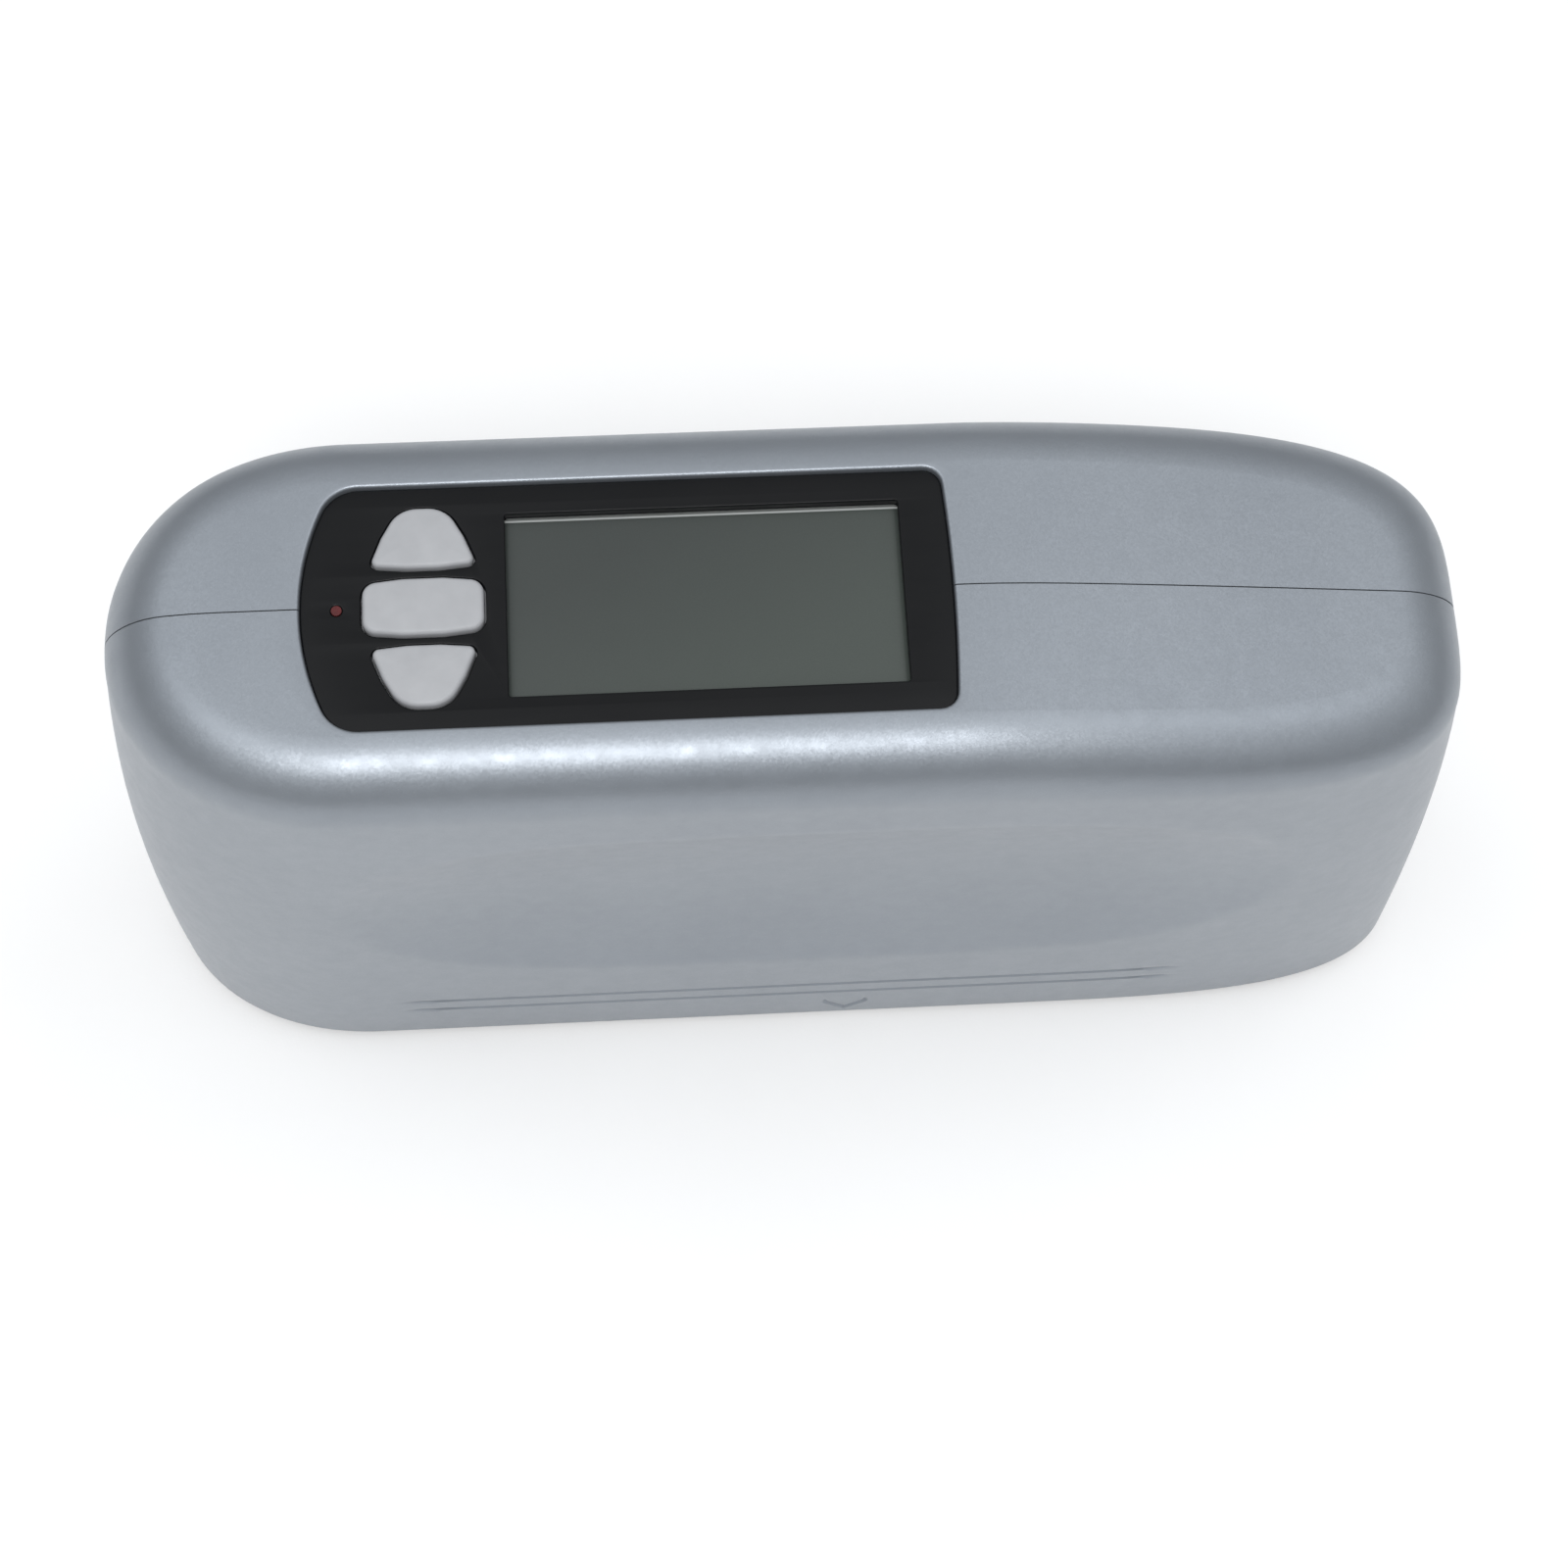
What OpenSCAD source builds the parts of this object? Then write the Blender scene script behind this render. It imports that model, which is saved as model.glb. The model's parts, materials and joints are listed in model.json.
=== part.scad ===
// Hand-held gloss meter: a narrow barrel-shaped case in two halves on a flat measuring base,
// a display panel with three push buttons in its top, and a 60 degree optical bench inside.
// Origin: middle of the base's underside. +X to the right of the display, -Y is the front.

/* [Case] */
// Height of the case over its flat top
case_h = 64; // [60:0.5:70]
// Half width of the case at its top edge
top_half_w = 15.7; // [15:0.1:18]
// How much narrower each side is at the base
side_taper = 1; // [0.5:0.1:1.5]
// Length left of the middle, at the top edge
top_left = 53.9; // [53:0.1:58]
// Length right of the middle, at the top edge
top_right = 51.1; // [50.5:0.1:56]
// How far the left end flares out down to the base
flare_left = 3; // [1:0.1:4]
// How far the right end flares out down to the base
flare_right = 5.9; // [4:0.1:7]
// Radius of the rounded top edge
edge_r = 5.3; // [5:0.1:5.4]
// Thickness of the case walls
wall = 2.2; // [1.8:0.1:2.4]
// Width of the seam between the two halves
seam_gap = 0.12; // [0.05:0.01:0.3]

/* [Crown] */
// Where the top starts to fall towards the right end
crown_start = 11.4; // [11:0.1:20]
// Slope of the falling top
crown_slope = 0.16; // [0.05:0.01:0.17]

/* [Finger dish] */
// Length of the shallow finger dish in each side
dish_len = 79; // [70:1:80]
// Height of the dish
dish_h = 34; // [28:1:36]
// Depth of the front dish
front_dish = 1.9; // [1.2:0.1:2]
// Depth of the rear dish
rear_dish = 1.2; // [0.6:0.1:1.2]
// Height of the dish's middle
dish_z = 36; // [34:0.5:37]

/* [Display] */
// Left edge of the panel, where it bows out most
panel_left = -38.4; // [-38.8:0.1:-38]
// Right edge of the panel
panel_right = 10.7; // [10.5:0.1:12]
// Half width of the panel
panel_half_w = 9.9; // [9.6:0.1:10]
// Depth of the panel's face below the top
panel_recess = 0.5; // [0.3:0.1:0.6]
// Thickness of the panel
panel_t = 0.9; // [0.7:0.1:1]
// Left edge of the display window
window_left = -23; // [-23:0.1:-22]
// Length of the display window
window_len = 30; // [26:0.5:30]
// Width of the display window
window_w = 15; // [12:0.5:15]

/* [Buttons] */
// Middle of the button column
button_x = -29.2; // [-29.3:0.1:-29.1]
// Distance between neighbouring buttons
button_pitch = 5.7; // [5.6:0.05:5.75]
// Length of the middle button
button_len = 9.1; // [8.6:0.1:9.2]
// Height of a button's face above the panel
button_proud = 0.6; // [0.5:0.1:1]
// Gap around each button
button_gap = 0.15; // [0.1:0.01:0.2]

/* [Optics] */
// Place of the measuring port along the base
port_x = 4.5; // [3:0.5:5]
// Angle of both beams from the vertical
beam_angle = 60; // [60]
// Length of each beam tube from the port
beam_len = 50; // [49:0.5:50.5]
// Radius of the beam bores
bore_r = 4.5; // [4:0.1:4.8]
// Outer radius of the beam tubes
tube_r = 6.5; // [6:0.1:6.6]

/* [Battery] */
// Radius of the cell
cell_r = 7.1; // [6.9:0.05:7.15]
// Length of the cell without its button
cell_len = 49.3; // [49:0.1:49.5]
// Height of the cell's axis
cell_z = 43; // [42.5:0.1:43.5]

/* [Hidden] */

// plan outline
round_left = 18.8;        // length of the round left end
round_right = 39.1;       // length of the squarer right end
power_left = 2.09;        // superellipse powers of the two ends
power_right = 3.73;
bulge_left = 1.2;         // barrel bulge of the ends half way up
bulge_right = 0.6;
arc_steps = 10;           // points on each quarter of the outline
side_levels = 7;
edge_levels = 5;
crown_blend = 7.3;        // how softly the crown starts
crown_left_start = 44.6;
crown_left_bend = 0.02;
top_wall = 2.5;           // wall under the flat top
dish_wall = 1.4;          // wall left behind the front dish

// heights in the stack under the panel
panel_top = case_h - panel_recess;
panel_bottom = panel_top - panel_t;
glass_t = 2;
glass_bottom = panel_bottom - glass_t;
board_top = glass_bottom - 3.6;
board_t = 1.6;
board_bottom = board_top - board_t;

// base
base_t = 2.6;
flange_t = 1.2;           // the base's outer flange
shell_bottom = 1.5;       // leaves a shadow gap over the flange

// battery bay
cell_y = 3.6;
cell_left = -24.2;
nub_len = 1.2;
cell_right = cell_left + cell_len;
lead_x = [-27.25, cell_right + nub_len + 0.25];
holder_back = -6;
bay_half_len = 27;
bay_low = 34;
bay_high = 52;
hinge_y = 13.3;           // hinge line of the battery door, low in the wall
hinge_z = bay_low + 0.9;
barrel_r = 0.85;
pin_r = 0.7;
pin_end = 28.4;

// screws
case_bosses = [[-36, 7], [38, 7], [-38, 46], [34, 46]];
base_boss = [48.5, 6.5];
optics_holes = [18, 6.4];
holder_screw_x = 18;
eps = 0.01;

function bulge(t) = 4 * t * (1 - t);
function depth_at(z) = 1 - min(max(z, 0) / (case_h - edge_r), 1);
function left_at(t) = top_left + flare_left * t + bulge_left * bulge(t);
function right_at(t) = top_right + flare_right * t + bulge_right * bulge(t);
function half_w_at(t) = top_half_w - side_taper * t;
function crown(x) =
    crown_slope * (sqrt(pow(max(0, x - crown_start), 2) + pow(crown_blend, 2)) - crown_blend)
    + crown_left_bend * pow(max(0, -x - crown_left_start), 2);

// one quarter of a superellipse end: [along, across] at angle a
function end_point(a, len, w, round_len, power) =
    [len - round_len + round_len * pow(max(0, cos(a)), 2 / power), w * pow(max(0, sin(a)), 2 / power)];

// rear half of the plan, from the right tip to the left tip
function half_plan(t, inset) = concat(
    [for (i = [0:arc_steps])
        end_point(90 * i / arc_steps, right_at(t) - inset, half_w_at(t) - inset,
            round_right - inset, power_right)],
    [for (i = [arc_steps:-1:0])
        let (p = end_point(90 * i / arc_steps, left_at(t) - inset, half_w_at(t) - inset,
            round_left - inset, power_left)) [-p[0], p[1]]]);

function plan(t, inset) =
    let (u = half_plan(t, inset), n = len(u))
    concat(u, [for (i = [n - 2:-1:1]) [u[i][0], -u[i][1]]]);

// the case as a stack of plan outlines, drawn in by side and lowered by top
module case_solid(side, top) {
    low = side > 0 ? -1 : 0;
    levels = concat(
        [for (i = [0:side_levels])
            let (z = (case_h - edge_r) * i / side_levels) [i == 0 ? low : z, side]],
        [for (i = [1:edge_levels])
            let (a = 90 * i / edge_levels)
            [case_h - edge_r + (edge_r - top) * sin(a), side + (edge_r - side) * (1 - cos(a))]]);
    rings = [for (l = levels) [for (p = plan(depth_at(l[0]), l[1]))
        [p[0], p[1], l[0] - crown(p[0]) * pow(max(0, l[0]) / case_h, 3)]]];
    n = len(rings[0]);
    m = len(rings);
    last = (m - 1) * n;
    walls = [for (j = [0:m - 2], i = [0:n - 1], half = [0, 1])
        let (a = j * n + i, b = j * n + (i + 1) % n)
        half == 0 ? [a, a + n, b + n] : [a, b + n, b]];
    lid = [for (i = [0:n / 2 - 1], half = [0, 1])
        let (a = last + i, b = last + i + 1, c = last + n - i - 1, d = last + (n - i) % n)
        if (!(half == 0 && a == d) && !(half == 1 && b == c)) half == 0 ? [a, d, c] : [a, c, b]];
    polyhedron(points = [for (r = rings, p = r) p],
        faces = concat([[for (i = [0:n - 1]) i]], walls, lid), convexity = 4);
}

// distance from the middle plane to the rear wall's outside at x
function flank(x, t) =
    let (along = max(0, x - right_at(t) + round_right) / round_right,
        left = max(0, -x - left_at(t) + round_left) / round_left)
    half_w_at(t) * pow(1 - pow(along, power_right), 1 / power_right)
        * pow(1 - pow(left, power_left), 1 / power_left);

// body of revolution about a line outside the front wall; it bites a dish of this depth
module finger_dish(depth) {
    t = depth_at(dish_z);
    reach = (pow(dish_h / 2, 2) - pow(depth, 2)) / (2 * depth);
    steps = 26;
    half = dish_len / 2 + 0.5;
    profile = [for (i = [0:steps])
        let (x = -half + 2 * half * i / steps)
        [reach + half_w_at(t) - flank(x + 1, t) + depth * (1 - pow(abs(x) / (dish_len / 2), 4)), x]];
    lean = atan(side_taper / (case_h - edge_r));
    translate([1, -half_w_at(t), dish_z])
        rotate([lean, 0, 0])
        translate([0, -reach, 0])
        rotate([0, 90, 0])
        rotate([0, 0, 75])
        rotate_extrude(angle = 30, $fn = 360)
        polygon(concat([[reach - 20, -half]], profile, [[reach - 20, half]]));
}

module slot_2d(len, w) {
    square([len - w, w], center = true);
    for (s = [-1, 1]) translate([s * (len - w) / 2, 0]) circle(d = w, $fn = 48);
}

module round_rect(x, y, r) {
    square([x - 2 * r, y], center = true);
    square([x, y - 2 * r], center = true);
    for (sx = [-1, 1], sy = [-1, 1])
        translate([sx * (x / 2 - r), sy * (y / 2 - r)]) circle(r = r, $fn = 40);
}

// display panel outline: bowed left side with large corners, nearly square right side
module panel_2d(grow) {
    hull() {
        bowed_side(panel_left, 1, 1.4, 3, grow);
        bowed_side(panel_right, -1, 0.3, 1.4, grow);
    }
}

// one bowed end of the panel: a long arc that runs smoothly into two corner arcs of radius r
module bowed_side(x, inward, bow, r, grow) {
    deep = bow + r;
    high = panel_half_w - r;
    arc_r = (deep * deep + high * high - r * r) / (2 * (deep - r));
    for (s = [-1, 1])
        translate([x + inward * deep, s * high]) circle(r = r + grow, $fn = 40);
    intersection() {
        translate([x + inward * arc_r, 0]) circle(r = arc_r + grow, $fn = 360);
        reach = high * arc_r / (arc_r - r);
        translate([x - (inward > 0 ? grow : bow), -reach]) square([bow + grow, 2 * reach]);
    }
}

// outline of the upper button: a round-topped triangle standing on its long side
module dome_2d(grow) {
    hull() {
        for (s = [-1, 1]) {
            translate([s * 0.4, 0.05]) circle(r = 2.35 + grow, $fn = 48);
            translate([s * 1.65, -0.65]) circle(r = 1.6 + grow, $fn = 40);
            translate([s * 1.2, -1.5]) circle(r = 1.05 + grow, $fn = 32);
            translate([s * 3.3, -1.85]) circle(r = 0.5 + grow, $fn = 32);
        }
    }
}

// outline of the middle button: a short barrel
module barrel_2d(grow) {
    hull() {
        for (sx = [-1, 1], sy = [-1, 1]) {
            translate([sx * (button_len / 2 - 1.1), sy]) circle(r = 1.1 + grow, $fn = 32);
            translate([sx * 1.5, sy * 1.21]) circle(r = 1.1 + grow, $fn = 32);
        }
    }
}

// the three button outlines at their places: side 1 is up, 0 middle, -1 down
module button_2d(side, grow) {
    translate([button_x, side * button_pitch]) {
        if (side > 0) dome_2d(grow);
        if (side < 0) mirror([0, 1]) dome_2d(grow);
        if (side == 0) barrel_2d(grow);
    }
}

module on_beam(side, dist) {
    translate([port_x, 0, 0]) rotate([0, side * beam_angle, 0]) translate([0, 0, dist]) children();
}

// lens with one flat face and one bulged face, thickness at the middle t
module lens(r, t, bend) {
    intersection() {
        cylinder(r = r, h = t, $fn = 64);
        translate([0, 0, t - bend]) sphere(r = bend, $fn = 128);
    }
}

module pan_screw(head_r, head_h, shank_r, len) {
    cylinder(r = shank_r, h = len, $fn = 32);
    translate([0, 0, len]) difference() {
        cylinder(r = head_r, h = head_h, $fn = 40);
        translate([0, 0, head_h - 0.7]) cross_recess(head_r);
    }
}

module flush_screw(head_r, shank_r, len) {
    cone = head_r - shank_r;
    difference() {
        union() {
            cylinder(r1 = head_r, r2 = shank_r, h = cone, $fn = 40);
            translate([0, 0, cone - eps]) cylinder(r = shank_r, h = len - cone, $fn = 32);
        }
        translate([0, 0, 0.6]) mirror([0, 0, 1]) cross_recess(head_r);
    }
}

module cross_recess(r) {
    for (a = [0, 90]) rotate([0, 0, a]) translate([-r * 0.6, -0.25, 0]) cube([r * 1.2, 0.5, 1]);
}

// everything both case halves share; half is -1 for the front, 1 for the rear
module shell_half(half) {
    difference() {
        case_solid(0, 0);
        difference() {
            case_solid(wall, top_wall);
            // keeps the wall thick behind the deeper front dish
            if (half < 0) finger_dish(front_dish + dish_wall);
        }
        translate([-80, half > 0 ? -40 + seam_gap / 2 : -seam_gap / 2, -5]) cube([160, 40, 80]);
        translate([-80, -40, -5]) cube([160, 80, 5 + shell_bottom]);
        translate([0, 0, panel_bottom]) linear_extrude(5) panel_2d(0.05);
        translate([0, 0, panel_bottom - 5]) linear_extrude(10) panel_2d(-1.3);
        if (half < 0) finger_dish(front_dish);
        else mirror([0, 1, 0]) finger_dish(rear_dish);
    }
    // ledges under the main board
    for (x = [-30, 0, 26])
        translate([x - 2, half > 0 ? 9.6 : -14.1, board_bottom - 2]) cube([4, 4.5, 2]);
    // bosses for the base screws, each with a web to the wall
    for (s = [-1, 1]) {
        translate([s * base_boss[0], half * base_boss[1], base_t]) cylinder(r = 2.8, h = 9, $fn = 40);
        translate([s * base_boss[0] - 0.8, half > 0 ? base_boss[1] : -11, base_t])
            cube([1.6, 11 - base_boss[1], 9]);
    }
}

module base_boss_holes(half) {
    for (s = [-1, 1])
        translate([s * base_boss[0], half * base_boss[1], base_t - 1]) cylinder(r = 1.1, h = 8, $fn = 32);
}

// two fine grooves and a small arrow head that marks the measuring port
module front_marks() {
    for (z = [7.9, 10.5])
        translate([-35.5, -20, z]) intersection() {
            cube([70, 12, 0.4]);
            translate([35.5, 20, 0]) linear_extrude(0.4)
                difference() {
                    translate([-60, -25]) square([120, 50]);
                    polygon(plan(depth_at(z), 0.3));
                }
        }
    translate([port_x, -half_w_at(depth_at(3.7)) + 0.2, 2.8])
        rotate([90, 0, 0]) linear_extrude(3)
        polygon([[0, 0], [1.75, 1.4], [1.75, 1.8], [0, 0.45], [-1.75, 1.8], [-1.75, 1.4]]);
}

module front_shell() {
    color("#98a2ab") difference() {
        union() {
            shell_half(-1);
            for (b = case_bosses) translate([b[0], -seam_gap / 2, b[1]])
                rotate([90, 0, 0]) cylinder(r = 3, h = 13, $fn = 40);
            for (s = [-1, 1]) translate([s * holder_screw_x, holder_back, cell_z])
                rotate([90, 0, 0]) cylinder(r = 3, h = 7.2, $fn = 40);
        }
        base_boss_holes(-1);
        for (b = case_bosses) translate([b[0], 1, b[1]])
            rotate([90, 0, 0]) cylinder(r = 1.25, h = 10, $fn = 32);
        for (s = [-1, 1]) translate([s * holder_screw_x, holder_back + 1, cell_z])
            rotate([90, 0, 0]) cylinder(r = 1, h = 7, $fn = 32);
        front_marks();
    }
}

// outline of the battery opening, seen from behind
module bay_2d(grow) {
    translate([0, (bay_low + bay_high) / 2])
        round_rect(2 * (bay_half_len + grow), bay_high - bay_low + 2 * grow, 2.5 + grow);
    translate([-bay_half_len - grow, bay_low - grow]) square([2 * (bay_half_len + grow), 6]);
}

module along_y(y0, y1) {
    translate([0, y1, 0]) rotate([90, 0, 0]) linear_extrude(y1 - y0) children();
}

module rear_shell() {
    color("#939da7") difference() {
        union() {
            shell_half(1);
            for (b = case_bosses) translate([b[0], 13.4, b[1]])
                rotate([90, 0, 0]) cylinder(r = 3.6, h = 13.4 - seam_gap / 2, $fn = 40);
            // lugs behind the wall for the door's hinge pins
            for (x = [bay_half_len + 0.2, -bay_half_len - 2.6])
                translate([x, hinge_y - 1.5, hinge_z - 1.4]) cube([2.4, 2, 2.8]);
        }
        base_boss_holes(1);
        for (s = [-1, 1]) translate([s * (bay_half_len - 1), hinge_y, hinge_z])
            rotate([0, s * 90, 0]) cylinder(r = pin_r + 0.06, h = pin_end - bay_half_len + 1.2, $fn = 32);
        along_y(8, 20) bay_2d(0.2);
        for (b = case_bosses) translate([b[0], -1, b[1]]) rotate([-90, 0, 0]) {
            cylinder(r = 1.4, h = 10, $fn = 32);
            translate([0, 0, 7]) cylinder(r = 2.7, h = 15, $fn = 40);
        }
    }
}

module battery_door() {
    color("#9aa3ac") {
        difference() {
            intersection() {
                along_y(8, 20) bay_2d(0);
                difference() {
                    case_solid(0, 0);
                    case_solid(wall, top_wall);
                }
            }
            mirror([0, 1, 0]) finger_dish(rear_dish);
            // grip grooves for a thumb, near the top edge
            for (i = [0:4]) translate([-9, 13.65, 45.2 + 1.1 * i]) cube([18, 4, 0.5]);
            // the plate ends on the hinge line, where the barrel takes over
            translate([-40, 0, hinge_z - 10]) cube([80, 30, 10]);
        }
        translate([-bay_half_len + 0.1, hinge_y, hinge_z]) rotate([0, 90, 0])
            cylinder(r = barrel_r, h = 2 * bay_half_len - 0.2, $fn = 48);
        translate([-pin_end, hinge_y, hinge_z]) rotate([0, 90, 0])
            cylinder(r = pin_r, h = 2 * pin_end, $fn = 32);
    }
}

module base_plate() {
    color("#2c2e30") difference() {
        union() {
            linear_extrude(flange_t) polygon(plan(1, 0.3));
            translate([0, 0, flange_t - eps]) linear_extrude(base_t - flange_t + eps)
                polygon(plan(1, wall + 0.3));
        }
        translate([port_x, 0, -1]) linear_extrude(5) slot_2d(20, 9.6);
        for (sx = [-1, 1], sy = [-1, 1]) {
            translate([sx * base_boss[0], sy * base_boss[1], 0]) flush_hole(2.4, 1.3);
            translate([port_x + sx * optics_holes[0], sy * optics_holes[1], 0]) flush_hole(2, 1.1);
        }
    }
}

module flush_hole(head_r, r) {
    translate([0, 0, -1]) cylinder(r = r, h = 5, $fn = 32);
    translate([0, 0, -eps]) cylinder(r1 = head_r, r2 = r, h = head_r - r, $fn = 40);
}

module display_panel() {
    color("#1d1f21") difference() {
        translate([0, 0, panel_bottom]) linear_extrude(panel_t) panel_2d(0);
        translate([window_left, -window_w / 2, panel_bottom - 1]) cube([window_len, window_w, 3]);
        for (side = [-1, 0, 1])
            translate([0, 0, panel_bottom - 1]) linear_extrude(3) button_2d(side, button_gap);
        translate([panel_left + 2.7, 0, panel_bottom - 1]) cylinder(r = 0.45, h = 3, $fn = 24);
    }
}

// button cap with a retaining flange under the panel and a stem
module button(side) {
    face = panel_top + button_proud;
    color("#c3c6c9") {
        translate([0, 0, panel_bottom - 0.2])
            linear_extrude(face - 0.1 - panel_bottom) button_2d(side, 0);
        translate([0, 0, face - 0.3 - eps]) linear_extrude(0.3 + eps) button_2d(side, -0.3);
        translate([0, 0, panel_bottom - 0.9]) linear_extrude(0.8)
            intersection() {
                button_2d(side, 0.4);
                translate([button_x, side * 5.6]) square([10, side == 0 ? 5.2 : 5.4], center = true);
            }
        translate([button_x, side * button_pitch, board_top + 2.9])
            cylinder(r = 1.2, h = panel_bottom - 0.8 - board_top - 2.9, $fn = 32);
    }
}

module button_up() { button(1); }
module button_ok() { button(0); }
module button_down() { button(-1); }

module plunger(side) {
    color("#2a2a2a") translate([button_x, side * button_pitch, board_top + 1])
        cylinder(r = 0.9, h = 1.9, $fn = 32);
}

module plunger_up() { plunger(1); }
module plunger_ok() { plunger(0); }
module plunger_down() { plunger(-1); }

module tact_switch(side) {
    color("#3a3c3e") difference() {
        translate([button_x - 2.2, side * button_pitch - 2.2, board_top]) cube([4.4, 4.4, 2.3]);
        translate([button_x, side * button_pitch, board_top + 0.4]) cylinder(r = 0.95, h = 3, $fn = 32);
    }
}

module switch_up() { tact_switch(1); }
module switch_ok() { tact_switch(0); }
module switch_down() { tact_switch(-1); }

module light_pipe() {
    color("#c94a3a") translate([panel_left + 2.7, 0, board_top + 1])
        cylinder(r = 0.4, h = panel_top - board_top - 1, $fn = 24);
}

module status_led() {
    color("#d8d2c0") translate([panel_left + 1.9, -0.6, board_top]) cube([1.6, 1.2, 1]);
}

module lcd_glass() {
    color("#7d8a82") translate([window_left - 0.95, -8.4, glass_bottom])
        cube([window_len + 2, 16.8, glass_t]);
}

module lcd_holder() {
    color("#e6e7e4") difference() {
        translate([window_left - 0.95, -8.4, board_top])
            cube([window_len + 2, 16.8, glass_bottom - board_top]);
        for (s = [-1, 1]) translate([window_left + 1, s * 7 - 0.75, board_top - 1])
            cube([window_len - 2, 1.5, 6]);
        translate([window_left + 2, -5, board_top - 1]) cube([window_len - 4, 10, 2.5]);
    }
}

module contact_strips() {
    color("#c9a7a0") for (s = [-1, 1])
        translate([window_left + 1.1, s * 7 - 0.65, board_top])
            cube([window_len - 2.2, 1.3, glass_bottom - board_top]);
}

module main_board() {
    color("#2f6b45") translate([-44.5, -10.5, board_bottom]) cube([80.5, 21, board_t]);
}

module board_parts() {
    color("#26282a") {
        translate([8, -5, board_bottom - 1.1]) cube([10, 10, 1.1]);
        translate([-20, -4, board_bottom - 1.4]) cube([8, 6, 1.4]);
        translate([14, -7, board_top]) cube([5, 5, 1.6]);
        translate([24, 3, board_top]) cylinder(r = 2, h = 1.6, $fn = 32);
        for (i = [0:3]) translate([13 + 2.6 * i, 7, board_top]) cube([1.6, 0.9, 0.7]);
    }
}

module optical_block() {
    color("#202224") difference() {
        union() {
            for (side = [-1, 1]) on_beam(side, 10) cylinder(r = tube_r, h = beam_len - 10, $fn = 64);
            translate([port_x - 21, -9, base_t]) cube([42, 18, 12]);
        }
        for (side = [-1, 1]) on_beam(side, -4) cylinder(r = bore_r, h = beam_len + 6, $fn = 64);
        translate([-60, -20, -10]) cube([120, 40, 10 + base_t]);
        for (sx = [-1, 1], sy = [-1, 1])
            translate([port_x + sx * optics_holes[0], sy * optics_holes[1], base_t - 1])
                cylinder(r = 0.95, h = 8, $fn = 32);
    }
}

module lamp_led() {
    color("#f0e6c8") on_beam(-1, beam_len) mirror([0, 0, 1]) {
        cylinder(r = 2.9, h = 0.8, $fn = 40);
        cylinder(r = 2.5, h = 2.6, $fn = 40);
        translate([0, 0, 2.6]) sphere(r = 2.5, $fn = 48);
    }
}

module condenser_lens() { color("#cfe3ea") on_beam(-1, 41.5) lens(bore_r - 0.05, 3, 7); }
module collimator_lens() { color("#cfe3ea") on_beam(-1, 28) lens(bore_r - 0.05, 3, 9); }
module receiver_lens() { color("#cfe3ea") on_beam(1, 28) lens(bore_r - 0.05, 3, 9); }

module stop_disc(side, dist, opening) {
    color("#151617") on_beam(side, dist) difference() {
        cylinder(r = bore_r - 0.05, h = 0.8, $fn = 64);
        translate([-opening / 2, -opening, -1]) cube([opening, 2 * opening, 3]);
    }
}

module source_stop() { stop_disc(-1, 40, 1.2); }
module receiver_stop() { stop_disc(1, 43, 1.8); }
module filter_glass() { color("#b9c98a") on_beam(1, 44.2) cylinder(r = bore_r - 0.05, h = 2, $fn = 64); }

module photodiode() {
    color("#b8b49c") on_beam(1, 47) {
        cylinder(r = 4.1, h = 2.2, $fn = 48);
        translate([0, 0, 2.2]) cylinder(r = 4.3, h = beam_len - 49.2, $fn = 48);
    }
}

module end_board(side) {
    color("#2f6b45") on_beam(side, beam_len) cylinder(r = tube_r - 0.1, h = 1.2, $fn = 64);
}

module lamp_board() { end_board(-1); }
module sensor_board() { end_board(1); }

module battery_holder() {
    low = cell_z - 8.4;
    color("#25272a") difference() {
        translate([-29.5, holder_back, low]) cube([59, 16.6, 16.8]);
        translate([-27.5, cell_y, cell_z]) rotate([0, 90, 0]) cylinder(r = cell_r + 0.3, h = 54.3, $fn = 72);
        translate([-27.5, cell_y, cell_z - cell_r - 0.3]) cube([54.3, 20, 2 * cell_r + 0.6]);
        for (s = [-1, 1]) translate([s * holder_screw_x, 0, cell_z]) rotate([90, 0, 0]) {
            cylinder(r = 1.1, h = 12, $fn = 32);
            cylinder(r = 2.1, h = -holder_back - 1.1, $fn = 40);
        }
        for (x = lead_x) translate([x, cell_y - 4, cell_z + 3]) cylinder(r = 0.45, h = 8, $fn = 24);
    }
}

module battery_cell() {
    color("#c8b46a") translate([cell_left, cell_y, cell_z]) rotate([0, 90, 0]) {
        cylinder(r = cell_r, h = cell_len, $fn = 72);
        cylinder(r = 2.6, h = cell_len + nub_len, $fn = 40);
    }
}

module contact_spring() {
    color("#c7c9cc") {
        translate([-27.5, cell_y - 5, cell_z - 5]) cube([0.5, 10, 10]);
        translate([-27.1, cell_y, cell_z]) rotate([0, 90, 0])
            linear_extrude(cell_left + 27.1, twist = -720, slices = 48)
            translate([3, 0]) circle(r = 0.4, $fn = 12);
    }
}

module contact_plate() {
    color("#c7c9cc") translate([cell_right + nub_len, cell_y - 5, cell_z - 5]) cube([0.5, 10, 10]);
}

module case_screws() {
    color("#8d9094") for (b = case_bosses) translate([b[0], 6 - 12, b[1]])
        rotate([-90, 0, 0]) pan_screw(2.4, 1.6, 1.2, 12);
}

module base_screws() {
    color("#8d9094") for (sx = [-1, 1], sy = [-1, 1])
        translate([sx * base_boss[0], sy * base_boss[1], 0.15]) flush_screw(2.2, 1.05, 8);
}

module optics_screws() {
    color("#8d9094") for (sx = [-1, 1], sy = [-1, 1])
        translate([port_x + sx * optics_holes[0], sy * optics_holes[1], 0.15]) flush_screw(1.8, 0.9, 7.5);
}

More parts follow.
